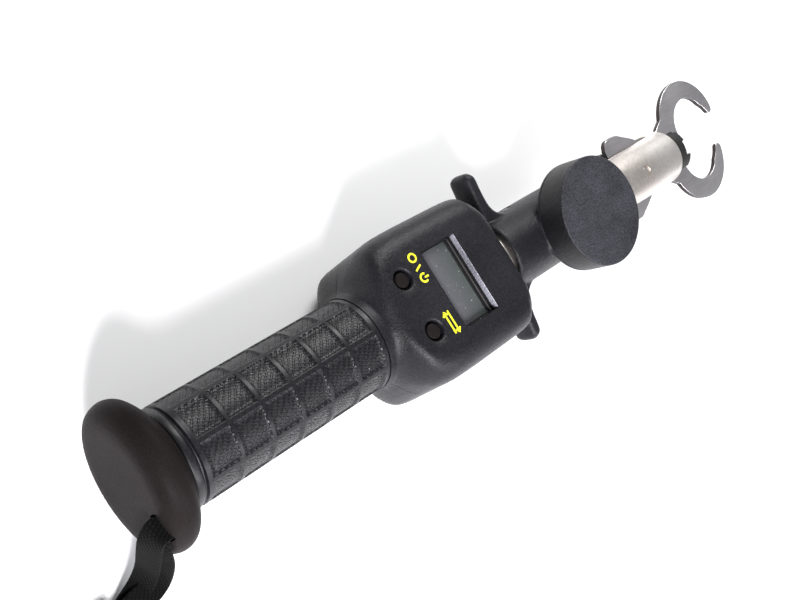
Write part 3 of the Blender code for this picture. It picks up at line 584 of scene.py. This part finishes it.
def strap_rows():
    """The strap's middle and width direction, from the slot round the loop and back."""
    slot_y, slot_z = SLOT
    ahead, aside = KEEPER_DIRECTION, (-KEEPER_DIRECTION[1], KEEPER_DIRECTION[0])
    above, below = slot_z + STRAP_PITCH / 2, slot_z - STRAP_PITCH / 2
    rows = [
        (6.4, slot_y, above, 0, -1, 0),
        (0.4, slot_y, above, 0, -1, 0),
        (-2.3, slot_y - 0.3, above - 0.5, 0.15, -0.95, 0.2),
        (-3.4, -16.4, 4.8, 0.35, -0.8, 0.4),
        (-3.1, -19.4, -3.0, 0.35, -0.85, 0.35),
        (-2.9, -22.4, -10.5, 0.3, -0.92, 0.2),
        (-4.8, -25.4, -16.8, 0.2, -0.97, 0.05),
        (-9.4, -28.2, -20.7, 0.3, -0.95, 0),
    ]

    def on_table(reach, offset, height, flat, upright):
        x = KEEPER[0] + reach * ahead[0] + offset * aside[0]
        y = KEEPER[1] + reach * ahead[1] + offset * aside[1]
        return (x, y, height, flat * aside[0], flat * aside[1], upright)

    stand = FLOOR + STRAP[0] / 2 + 0.1
    rows.append(on_table(-4.5, 0, KEEPER_LEVELS[0], 1, 0))
    rows.append(on_table(4.5, 0, KEEPER_LEVELS[0], 1, 0))
    rows.append(on_table(17, 2.5, stand - 0.4, 0.8, 0.6))
    for reach, offset in LOOP_HALF:
        rows.append(on_table(reach, offset, stand, 0, 1))
    rows.append(on_table(LOOP_REACH, 0, stand, 0, 1))
    for reach, offset in reversed(LOOP_HALF):
        rows.append(on_table(reach, -offset, stand, 0, 1))
    rows.append(on_table(17, -2.5, stand - 0.1, -0.8, 0.6))
    rows.append(on_table(4.5, 0, KEEPER_LEVELS[1], -1, 0))
    rows.append(on_table(-4.5, 0, KEEPER_LEVELS[1], -1, 0))
    rows += [
        (-8.6, -29.0, -17.8, -0.3, 0.95, 0),
        (-2.6, -27.2, -14.6, -0.25, 0.96, -0.05),
        (-0.3, -24.8, -9.6, -0.3, 0.92, -0.2),
        (-0.2, -21.6, -2.4, -0.35, 0.85, -0.35),
        (-1.1, -18.0, 3.4, -0.35, 0.82, -0.4),
        (-0.8, slot_y - 0.5, below - 0.6, -0.1, 0.98, -0.1),
        (0.4, slot_y, below, 0, 1, 0),
        (6.4, slot_y, below, 0, 1, 0),
    ]
    return rows


def make_strap():
    """The strap as a ribbon along its rows, and the keeper that holds both strands."""
    rows = smooth_path(strap_rows(), 8)
    across_count = 5
    selvedge = 0.25
    width, thick = STRAP[0] / 2, STRAP[1] / 2 - 0.1
    side = [(-width, -thick * 0.5), (-width + selvedge, -thick)]
    side += [(-width + 2 * width * i / across_count, -thick) for i in range(1, across_count)]
    side += [(width - selvedge, -thick), (width, -thick * 0.5)]
    section = side + [(-u, -v) for u, v in side]
    rings, middles, lengths = [], [], [0.0]
    for index, row in enumerate(rows):
        here = Vector(row[:3])
        before, after = rows[max(index - 1, 0)], rows[min(index + 1, len(rows) - 1)]
        along = (Vector(after[:3]) - Vector(before[:3])).normalized()
        wide = Vector(row[3:])
        wide = (wide - wide.dot(along) * along).normalized()
        normal = along.cross(wide).normalized()
        rings.append([here + wide * u + normal * v for u, v in section])
        if middles:
            lengths.append(lengths[-1] + (here - middles[-1]).length)
        middles.append(here)
    bm = rings_mesh(rings)
    uv = bm.loops.layers.uv.new("UVMap")
    bm.verts.index_update()
    count = len(section)
    around = [u * MM for u, v in section]
    for face in bm.faces:
        for loop in face.loops:
            index = loop.vert.index
            loop[uv].uv = (lengths[index // count] * MM, around[index % count])
    strap = piece("lanyard_webbing", bm, 50)
    dress(strap, WEBBING, "handle", "webbing", "lanyard_strap")
    lift = 2.9
    keeper = slab("strap_keeper", (-4.0, -5.15, -lift), (4.0, 5.15, lift), 0.9, 4)
    hole = slab("keeper_hole", (-9, -4.25, -2.0), (9, 4.25, 2.0), 0.5, 2)
    carve(keeper, hole)
    groove = slab("keeper_groove", (-1.2, -9, lift - 0.35), (1.2, 9, lift + 2), 0.2, 2)
    carve(keeper, groove)
    turn = Matrix.Rotation(math.atan2(KEEPER_DIRECTION[1], KEEPER_DIRECTION[0]), 4, "Z")
    place = Matrix.Translation(Vector((KEEPER[0], KEEPER[1], FLOOR + 0.1 + lift)) * MM)
    keeper.data.transform(place @ turn)
    dress(keeper, FLANGE, "handle", "flange_rubber", "lanyard_keeper")


make_strap()


# ---------------------------------------------------------------- handle


def make_butt_cap():
    """The flange with a plug that fills the handle and a blind slot for the strap."""
    curve = smooth_path(FLANGE_PROFILE, 6)
    face = [(17.2 * (1 - i / 6), 0.0) for i in range(1, 7)]
    plug = [(0.0, 19.8), (7.6, 19.8), (8.1, 19.3), (8.1, 12.5), (12.2, 12.4), (15.9, 12.4)]
    cap = lathe("butt_flange", [*plug, *curve, *face], sides=144)
    y, z = SLOT
    wide, tall = STRAP[0] / 2 + 0.5, (STRAP_PITCH + STRAP[1]) / 2 + 0.5
    corners = ((-wide, -tall), (wide, -tall), (wide, tall), (-wide, tall))
    outline = soften([(y + across, z + along) for across, along in corners], 1.2)
    hole = piece("slot", rings_mesh([[(x, *point) for point in outline] for x in (-4.0, SLOT_DEPTH)]))
    carve(cap, hole)
    bevel = cap.modifiers.new("lip", "BEVEL")
    bevel.width, bevel.segments, bevel.limit_method = 0.25 * MM, 2, "ANGLE"
    bevel.angle_limit = math.radians(50)
    bake(cap, 40)
    dress(cap, FLANGE, "handle", "flange_rubber", "butt_cap")


def rib(distance, half):
    """1 on a rib and 0 on a tile, with a smooth slope between."""
    t = min(max((abs(distance) - half) / RIB_SLOPE, 0.0), 1.0)
    return 1 - t * t * (3 - 2 * t)


def make_grip():
    """The sleeve with a collar and raised ribs round its tiles; panel is 1 on a tile."""
    end = TILE_START + TILE_ROWS * TILE_PITCH
    steps = [-1.0, -0.72, -0.57, -0.42, -0.2, 0.2, 0.42, 0.57, 0.72, 1.0]
    inner = [1.0 + (TILE_PITCH - 2.0) * i / 8 for i in range(1, 8)]
    xs = []
    for row in range(TILE_ROWS + 1):
        centre = TILE_START + row * TILE_PITCH
        xs += [centre + s for s in steps]
        if row < TILE_ROWS:
            xs += [centre + s for s in inner]
    column = math.tau * (GRIP_FLOOR + RIB_HEIGHT) / TILE_COLUMNS
    cross = [-1.1, -0.85, -0.7, -0.55, -0.25, 0.25, 0.55, 0.7, 0.85, 1.1]
    gap = [1.1 + (column - 2.2) * i / 9 for i in range(1, 9)]
    turns = [k * column + s for k in range(TILE_COLUMNS) for s in cross + gap]
    collar = smooth_path(
        [(12.9, 13.6), (12.75, 15.1), (13.2, 15.55), (14.2, 15.65), (15.1, 15.5), (15.45, 15.0),
         (15.6, 14.75), (16.1, 14.75), (16.3, 15.2)], 3)
    head = [(end + 1.15, 14.9), (end + 1.1, 13.6)]
    spread = GRIP_FLOOR + RIB_HEIGHT
    angles = [math.pi / 2 + place / spread for place in turns]
    rings, levels = [], []
    for x, radius in collar + [(x, None) for x in xs] + head:
        ring = []
        for place, a in zip(turns, angles):
            nearest = (place + column / 2) % column - column / 2
            raised = 1.0
            r = radius
            if radius is None:
                rows = (x - TILE_START + TILE_PITCH / 2) % TILE_PITCH - TILE_PITCH / 2
                if x < TILE_START - 0.6 or x > end + 0.6:
                    rows = 0.0
                raised = max(rib(rows, RIB_HALF), rib(nearest, COLUMN_RIB_HALF))
                r = GRIP_FLOOR + RIB_HEIGHT * raised
            ring.append((x, r * math.cos(a), r * math.sin(a)))
            levels.append(1 - raised)
        rings.append(ring)
    bore = [
        [(x, GRIP_BORE * math.cos(a), GRIP_BORE * math.sin(a)) for a in angles] for x in (end + 1.1, 12.9)
    ]
    levels += [0.0] * (2 * len(turns))
    bm = rings_mesh(rings + bore, closed_along=True)
    uv = bm.loops.layers.uv.new("UVMap")
    panel = bm.verts.layers.float.new("panel")
    bm.verts.index_update()
    bm.verts.ensure_lookup_table()
    count = len(turns)
    whole = column * TILE_COLUMNS
    for vert in bm.verts:
        vert[panel] = levels[vert.index]
    for face in bm.faces:
        places = [turns[loop.vert.index % count] for loop in face.loops]
        wrap = max(places) - min(places) > whole / 2
        for loop, place in zip(face.loops, places):
            place += whole if wrap and place < whole / 2 else 0
            loop[uv].uv = (loop.vert.co.x * MM, place * MM)
    grip = piece("tiled_grip", bm, 60)
    dress(grip, GRIP, "handle", "grip_rubber", "rubber_grip")


make_butt_cap()
make_grip()


# ---------------------------------------------------------------- housing


def section(x, half, top, bottom, corner, arcs=10, straight=5):
    """A rounded rectangle across X with evenly divided sides."""
    corner = min(corner, half - 0.01, top - 0.01, bottom - 0.01)
    corners = []
    for side, height, start in ((1, top, 0), (-1, top, 90), (-1, -bottom, 180), (1, -bottom, 270)):
        middle = (side * (half - corner), height - math.copysign(corner, height))
        corners.append(arc(middle, corner, start, start + 90, arcs))
    ring = []
    for here, after in zip(corners, corners[1:] + corners[:1]):
        ring += here
        (y0, z0), (y1, z1) = here[-1], after[0]
        ring += [(y0 + (y1 - y0) * i / straight, z0 + (z1 - z0) * i / straight) for i in range(1, straight)]
    return [(x, y, z) for y, z in ring]


def housing_body(name):
    """Both shells as one closed skin through the stations, with a shallow dish at the front."""
    rings = [section(*row) for row in smooth_path(HOUSING, 5)]
    front = list(HOUSING[-1])
    for shift, shrink in ((-0.05, 0.9), (0.0, 2.4)):
        rings.append(section(front[0] + shift, *(v - shrink for v in front[1:4]), front[4]))
    return piece(name, rings_mesh(rings), 40)


def housing_hollow(name):
    """The room inside both shells."""
    rings = [section(x, 13.0, 13.0, 13.0, 13.0) for x in (80.0, 90.5)]
    for x, half, top, bottom, corner in smooth_path(HOUSING[3:-3], 2):
        rings.append(section(x + 0.8, half - WALL, top - WALL, bottom - BACK_WALL, corner - WALL))
    rings.append(section(142.4, 18.6, 15.6, 18.6, 6.5))
    return piece(name, rings_mesh(rings))


def flared(name, outline_low, outline_high, low, high):
    """A cutter whose outline grows from low to high, for an opening with sloped walls."""
    rings = [[(x, y, low - 6) for x, y in outline_low], [(x, y, low) for x, y in outline_low],
             [(x, y, high) for x, y in outline_high], [(x, y, high + 4) for x, y in outline_high]]
    return piece(name, rings_mesh(rings))


def window_outline(grow, corner):
    low_x, high_x, half = 111.2 - grow, 126.2 + grow, 13.7 + grow
    return soften([(low_x, -half), (high_x, -half), (high_x, half), (low_x, half)], corner)


def bush_hole():
    return lathe("bush_hole", [(0, 138), (6.9, 138), (6.9, 150), (0, 150)], 48)


def make_housing():
    front = housing_body("front_case")
    carve(front, housing_hollow("hollow"), slab("below", (70, -40, -40), (160, 40, 0.1), 0))
    window = flared("window", window_outline(0.0, 0.9), window_outline(0.25, 1.1), 17.0, 19.05)
    well = [(0, 12), (3.25, 12), (3.25, 18.3), (3.45, 18.75), (3.95, 19.06), (3.95, 22), (0, 22)]
    holes = [lathe(name + "_hole", well, 64, place) for name, place in BUTTONS.items()]
    carve(front, window, *holes, bush_hole(), angle=38)
    dress(front, ABS, "handle", "black_abs", "front_shell")
    back = housing_body("back_case")
    x1, half, thick = DOOR[1:]
    cutters = [housing_hollow("hollow"), slab("above", (70, -40, -0.1), (160, 40, 40), 0),
               bush_hole(),
               slab("door_recess", (86, -half - 0.3, -30), (x1 + 0.3, half + 0.3, FLOOR + thick + 0.3), 0),
               slab("battery_hole", (98.5, 1.2 - half, -25), (x1 - 1.2, half - 1.2, -15), 0)]
    sink = [(0, -30), (3.3, -30), (2.95, FLOOR + 0.4), (2.95, -19.2), (0, -19.2)]
    for index, place in enumerate(SCREWS, 1):
        cutters.append(lathe(f"sink_{index}", sink, 40, place))
    carve(back, *cutters, angle=38)
    dress(back, ABS, "handle", "black_abs", "back_shell")


def make_screws():
    profile = [
        (0, 8.4), (1.3, 8.4), (1.3, -19.5), (2.2, -19.5), (2.6, -19.9), (2.6, -20.9), (2.2, -21.5), (0, -21.6)
    ]
    for index, (x, y) in enumerate(SCREWS, 1):
        screw = lathe(f"case_screw_{index}", profile, 40, (x, y))
        for turn in (0, 90):
            bar = slab("cross", (-1.7, -0.28, -25), (1.7, 0.28, -20.6), 0)
            place = Matrix.Translation(Vector((x, y, 0)) * MM)
            bar.data.transform(place @ Matrix.Rotation(math.radians(turn + 20 * index), 4, "Z"))
            carve(screw, bar)
        dress(screw, STEEL, "handle", "plain_steel", f"housing_screw_{index}")


def make_door():
    x0, x1, half, thick = DOOR
    door = slab("battery_lid", (x0, -half, FLOOR), (x1, half, FLOOR + thick), 0.35)
    cutters = []
    for i in range(4):
        near = x0 + 5 + 2.4 * i
        cutters.append(slab(f"thumb_{i}", (near, -6, FLOOR - 1), (near + 1.1, 6, FLOOR + 0.5), 0.2, 2))
    carve(door, *cutters)
    dress(door, ABS, "battery_door", "black_abs", "battery_door")


def make_screen():
    panel = slab("screen_panel", (108.0, -15.6, 13.9), (127.2, 15.6, 16.2), 0.2)
    dress(panel, SCREEN, "handle", "lcd", "lcd_panel")
    outer = [(108.2, -15.4), (127.0, -15.4), (127.0, 15.4), (108.2, 15.4)]
    mask = prism("screen_mask", outer, 16.22, 16.34)
    opening = soften([(111.0, -13.15), (123.3, -13.15), (123.3, 13.2), (111.0, 13.2)], 0.7)
    carve(mask, prism("opening", opening, 15.8, 16.8))
    dress(mask, INSERT, "handle", "black_insert")
    window = slab("screen_window", (108.0, -15.8, 16.36), (127.4, 15.8, 16.66), 0.05, 2)
    dress(window, CLEAR, "handle", "window", "display_window")
    gasket = slab("screen_gasket", (124.1, -13.4, 16.68), (124.75, 13.5, 17.0), 0.14, 3)
    dress(gasket, GASKET, "handle", "black_insert")
    # A thin bar against the window's front wall whose light colour is painted highlight, standing in for
    # light on the dark wall.
    painted_highlight_bar = slab("painted_highlight_wall", (126.0, -13.5, 16.7), (126.35, 13.7, 18.95), 0.15, 3)
    dress(painted_highlight_bar, PAINTED_HIGHLIGHT_WALL, "handle", "black_abs")


def make_buttons():
    angles = [math.radians(a) for a in range(0, 100, 10)]
    dome = [(2.5 * math.sin(a), 18.05 + 0.65 * math.cos(a)) for a in angles]
    profile = [*dome, (2.52, 16.5), (4.2, 16.5), (4.2, 15.6), (1.5, 15.6), (1.5, 14.6), (0, 14.6)]
    for name, place in BUTTONS.items():
        button = lathe(f"{name}_key", profile, 64, place, angle=45)
        dress(button, FLANGE, f"{name}_button", "flange_rubber", f"{name}_button")


def stroke(points):
    """A flat line along points, printed on the housing's face."""
    rings = []
    low, high = FACE_LEVEL - MARK_HALF_THICKNESS, FACE_LEVEL + MARK_HALF_THICKNESS
    for i, point in enumerate(points):
        here = Vector(point)
        along = (Vector(points[min(i + 1, len(points) - 1)]) - Vector(points[max(i - 1, 0)])).normalized()
        side = Vector((-along.y, along.x)) * MARK_WIDTH / 2
        near, far = here + side, here - side
        rings.append([(*near, low), (*far, low), (*far, high), (*near, high)])
    return rings_mesh(rings)


def make_marks():
    """Generic symbols beside the buttons: a standby ring, and a pair of swap arrows."""
    x = 107.1
    marks = {
        "standby_ring": arc((x, 6.3), 1.35, 52, 308, 28),
        "standby_bar": [(x + 0.3, 6.3), (x + 1.9, 6.3)],
        "standby_slash": [(x - 1.3, 9.2), (x + 1.3, 10.4)],
        "on_ring": arc((x, 13.4), 1.35, 0, 360, 32),
        "swap_out": [(x + 0.7, -6.0), (x + 0.7, -13.4)],
        "swap_out_head": [(x + 1.7, -12.2), (x + 0.7, -13.6), (x - 0.2, -12.4)],
        "swap_back": [(x - 0.9, -6.2), (x - 0.9, -13.4)],
        "swap_back_head": [(x + 0.1, -7.2), (x - 0.9, -6.0), (x - 1.9, -7.4)],
    }
    for name, points in marks.items():
        mark = piece(name, stroke(points))
        dress(mark, MARK, "handle", "tape")


make_housing()
make_screws()
make_door()
make_screen()
make_buttons()
make_marks()


# ---------------------------------------------------------------- head


def make_tube():
    start, end, radius, bore = TUBE
    outer = soften([(bore, end), (radius, end), (radius, start), (bore, start)], 0.3, 4)
    tube = lathe("head_tube", outer, 144, closed=True)
    pin = 2.3
    slot_end = TRIGGER_PIN_X + pin + TRIGGER_TRAVEL
    pivot_hole = [(0, -20), (2.5, -20), (pin, -10.8), (pin, 10.8), (2.5, 20), (0, 20)]
    carve(
        tube,
        slab("jaw_slot", (220.5, -20, -3.2), (249.5, 20, 3.2), 0.8),
        slab("pin_slot", (TRIGGER_PIN_X - pin, -20, -pin), (slot_end, 20, pin), 0.6),
        lathe("pivot_hole", pivot_hole, 48, (PIVOT_X, 0)),
        angle=35,
    )
    dress(rolled(tube), TUBE_METAL, "grip_head", "satin_tube", "grip_tube")
    profile = [(0, -10.6), (1.9, -10.6), (2.2, -10.3), (2.2, 10.3), (1.95, 10.6), (0, 10.65)]
    jaw_pin = lathe("jaw_pin", profile, 48, (PIVOT_X, 0))
    dress(rolled(jaw_pin), TUBE_METAL, "grip_head", "plain_steel", "pivot_pin")


def jaw_outline(side):
    """Hub, heel cam, neck and hook about the pivot; side -1 mirrors it."""
    base = 12.3
    rest = PIVOT_X - ARM_END - 0.3
    cam = []
    for step in range(12):
        roll = 4.8 + step * 0.43
        turn = (rest - roll) / base
        c, s = math.cos(turn), math.sin(turn)
        cam.append((-roll * c - base * s, base * c - roll * s))
    back = [(1.0, 17.0), (3.2, 16.0), (10.5, 12.2), (14.5, 9.3), (23.8, 9.2)]
    heel = smooth_path(arc((-4.0, 13.6), 3.4, 165, 95, 7) + back, 3)
    outer = arc((47.4, 6.9), 18.2, 158, 12, 36)
    tip = arc((63.6, 8.6), 1.8, 10, -150, 12) + [(61.1, 9.3), (60.0, 10.6)]
    inner = arc((49.0, 6.4), 10.9, 32, 200, 30)
    neck = [(38.2, 2.0), (35.0, 0.2), (28.0, -2.4), (18.0, -4.2), (9.0, -5.2), (2.05, -5.64)]
    neck = smooth_path(neck, 4)[1:]
    hub = arc((0, 0), 6.0, 286, 180, 14) + [(-6.0, 4.5)]
    points = [*cam, *heel, (26.0, 10.9), *outer, *tip, *inner, *neck, *hub]
    return [(PIVOT_X + x, side * y - HOOK_LEAN * max(0.0, x - LEAN_START)) for x, y in points]


def make_jaws():
    for name, side in (("left", 1), ("right", -1)):
        level = side * JAW_LEVEL
        jaw = prism(f"{name}_hook", jaw_outline(side), level - JAW_HALF, level + JAW_HALF, 0.42, 3, 30)
        carve(jaw, lathe("bore", [(0, -9), (2.5, -9), (2.5, 9), (0, 9)], 40, (PIVOT_X, 0)), angle=28)
        # The jaw material paints the jaws' upright walls dark as painted shade and painted reflection.
        dress(rolled(jaw), JAW_METAL, f"{name}_jaw", "jaw_steel", f"{name}_jaw")


def insert_part(name, start, end, level, side, near, far, count):
    """A length of round plug above a flat at that level, between two angles; side -1 is below."""
    outline = arc((0, 0), PLUG_RADIUS, start, end, count)
    outline += [(outline[-1][0], level), (outline[0][0], level)]
    outline = soften(outline, 0.12, 1)
    return piece(name, rings_mesh([[(x, y, side * z) for y, z in outline] for x in (near, far)]))


def make_inserts():
    flat = math.degrees(math.asin((INSERT_FLAT + 0.3) / PLUG_RADIUS))
    for name, side in (("upper", 1), ("lower", -1)):
        body = insert_part(f"{name}_insert", flat, 180 - flat, INSERT_FLAT, side, 249.5, INSERT_END, 40)
        claws = [
            insert_part("claw", start, end, INSERT_FLAT + 0.2, side, INSERT_END - 1.5, reach, 10)
            for start, end, reach in INSERT_CLAWS
        ]
        carve(body, *claws, operation="UNION")
        dress(rolled(body), INSERT, "grip_head", "black_insert", f"{name}_mouth_insert")


make_tube()
make_jaws()
make_inserts()


# ---------------------------------------------------------------- trigger and drum


def wing_mesh(name):
    """Both finger wings: rounded sections along Y whose front sweeps into the sleeve."""
    front = [
        (0, 168.0), (10.0, 166.5), (12.8, 162.5), (14.8, 158.8), (18.0, 156.6), (23.0, 155.7), (28.1, 155.5),
        (30.0, 154.9),
    ]
    rows = [(y, x, 150.0) for y, x in smooth_path(front, 5)]
    rows += [(30.7, 154.4, 150.6), (31.2, 153.8, 151.3), (31.35, 153.1, 151.9)]
    rows = [(-y, x, back) for y, x, back in reversed(rows[1:])] + rows
    rings = []
    for y, ahead, back in rows:
        middle, half = (ahead + back) / 2, (ahead - back) / 2
        ease = max(0.0, abs(y) - 28.5) / 2.85
        height = 5.2 * math.sqrt(max(0.05, 1 - 0.75 * ease * ease))
        ring = []
        for i in range(40):
            a = math.tau * i / 40
            c, s = (math.copysign(abs(part) ** 0.7, part) for part in (math.cos(a), math.sin(a)))
            ring.append((middle + half * c, y, height * s))
        rings.append(ring)
    return piece(name, rings_mesh(rings))


def tape_mouth():
    return slab("tape_mouth", (DRUM_X + 9, 13.8, 15.0), (DRUM_X + 25, 15.2, 20.5), 0.2)


def make_trigger():
    """The sleeve with its wings, arms and drum in one skin, and the drum's lid."""
    r = DRUM_RADIUS
    body = [(0, 150), (12.9, 150), (13.5, 150.6), (13.5, 212.4), (12.9, 213), (0, 213)]
    sleeve = lathe("trigger_body", body, 96)
    cup = [(0, 11.9), (r - 0.5, 11.9), (r, 12.4), (r, 13.4), (19.0, 13.5), (19.0, 22.4), (0, 22.4)]
    drum = lathe("drum", cup, 128, (DRUM_X, 0))
    saddle = lathe("saddle", [(0, 2.0), (11.6, 2.0), (13.0, 9.0), (16.6, 12.6), (0, 12.6)], 96, (DRUM_X, 0))
    spans = ((9.0, 13.2), (-13.2, -9.0))
    arms = [slab("arm", (198, low, -2.8), (ARM_END, high, 2.8), 0.5) for low, high in spans]
    pin_bore = lathe("pin_bore", [(0, -20), (2.1, -20), (2.1, 20), (0, 20)], 32)
    sideways = Matrix.Rotation(math.radians(90), 4, "Z")
    pin_bore.data.transform(Matrix.Translation((TRIGGER_PIN_X * MM, 0, 0)) @ sideways)
    carve(sleeve, wing_mesh("wings"), saddle, drum, operation="UNION")
    remesh = sleeve.modifiers.new("even", "REMESH")
    remesh.mode, remesh.voxel_size = "VOXEL", 0.42 * MM
    smooth = sleeve.modifiers.new("fillet", "SMOOTH")
    smooth.factor, smooth.iterations = 0.6, 7
    bake(sleeve, 60)
    carve(sleeve, *arms, operation="UNION", angle=40)
    carve(
        sleeve,
        lathe("bore", [(0, 140), (13.0, 140), (13.0, 149.9), (11.35, 151.2), (11.35, 232), (0, 232)], 96),
        lathe("drum_bore", [(0, 14.2), (17.6, 14.2), (17.6, 30), (0, 30)], 96, (DRUM_X, 0)),
        pin_bore,
        tape_mouth(),
        angle=40,
    )
    dress(rolled(sleeve), ABS, "trigger", "black_abs", "trigger_sleeve")
    top = DRUM_TOP
    cover = [(0, top)] + [(r * i / 8, top) for i in range(1, 8)]
    cover += [(r - 0.6, top), (r - 0.25, top - 0.08), (r - 0.08, top - 0.25), (r, top - 0.6), (r, 13.9),
              (19.15, 13.7), (19.15, 22.62), (17.3, 22.62), (17.3, 21.6), (0, 21.6)]
    lid = lathe("drum_lid", cover, 144, (DRUM_X, 0), angle=50)
    carve(lid, tape_mouth(), angle=50)
    # The lid takes the drum material's painted highlights on its face and painted shade on its sides.
    dress(rolled(lid), DRUM_ABS, "trigger", "black_abs", "drum_cover")


def make_tab():
    """The end of the measuring tape with its pull."""
    x, y = DRUM_X, 14.3
    blade = slab("tape_end", (x, y, 15.6), (x + 15.0, y + 0.4, 19.8), 0.05, 1)
    tab = slab("pull", (x + 14.7, y - 1.1, 15.0), (x + 15.9, y + 0.9, 20.0), 0.3)
    carve(blade, tab, operation="UNION")
    dress(rolled(blade), TAPE, "tape_tab", "tape", "tape_tab")


make_trigger()
make_tab()


# ---------------------------------------------------------------- carried-over nodes

CARRIED = {
    ABS: ("handle_core",),
    STEEL: (
        "anchor_screw", "power_switch", "units_switch", "contact_plate", "contact_springs", "load_bolt",
        "plug_screw", "pivot_spacer", "jaw_spring", "return_spring", "rewind_spring", "trigger_pin",
        "drum_axle",
    ),
    ALUMINIUM: ("load_cell", "tube_plug"),
    BRASS: ("swivel_bush", "thrust_washer"),
    BOARD: ("circuit_board",),
    BATTERY: ("battery_1", "battery_2"),
    WIRE: ("load_cell_wire",),
    WHITE: ("tape_spool",),
    TAPE: ("tape_coil",),
    INSERT: ("spring_seat",),
}
for look, names in CARRIED.items():
    for name in names:
        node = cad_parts[name]
        node.data.materials.clear()
        node.data.materials.append(look)
        node.data.shade_smooth()
        node.data.set_sharp_from_angle(angle=math.radians(35))
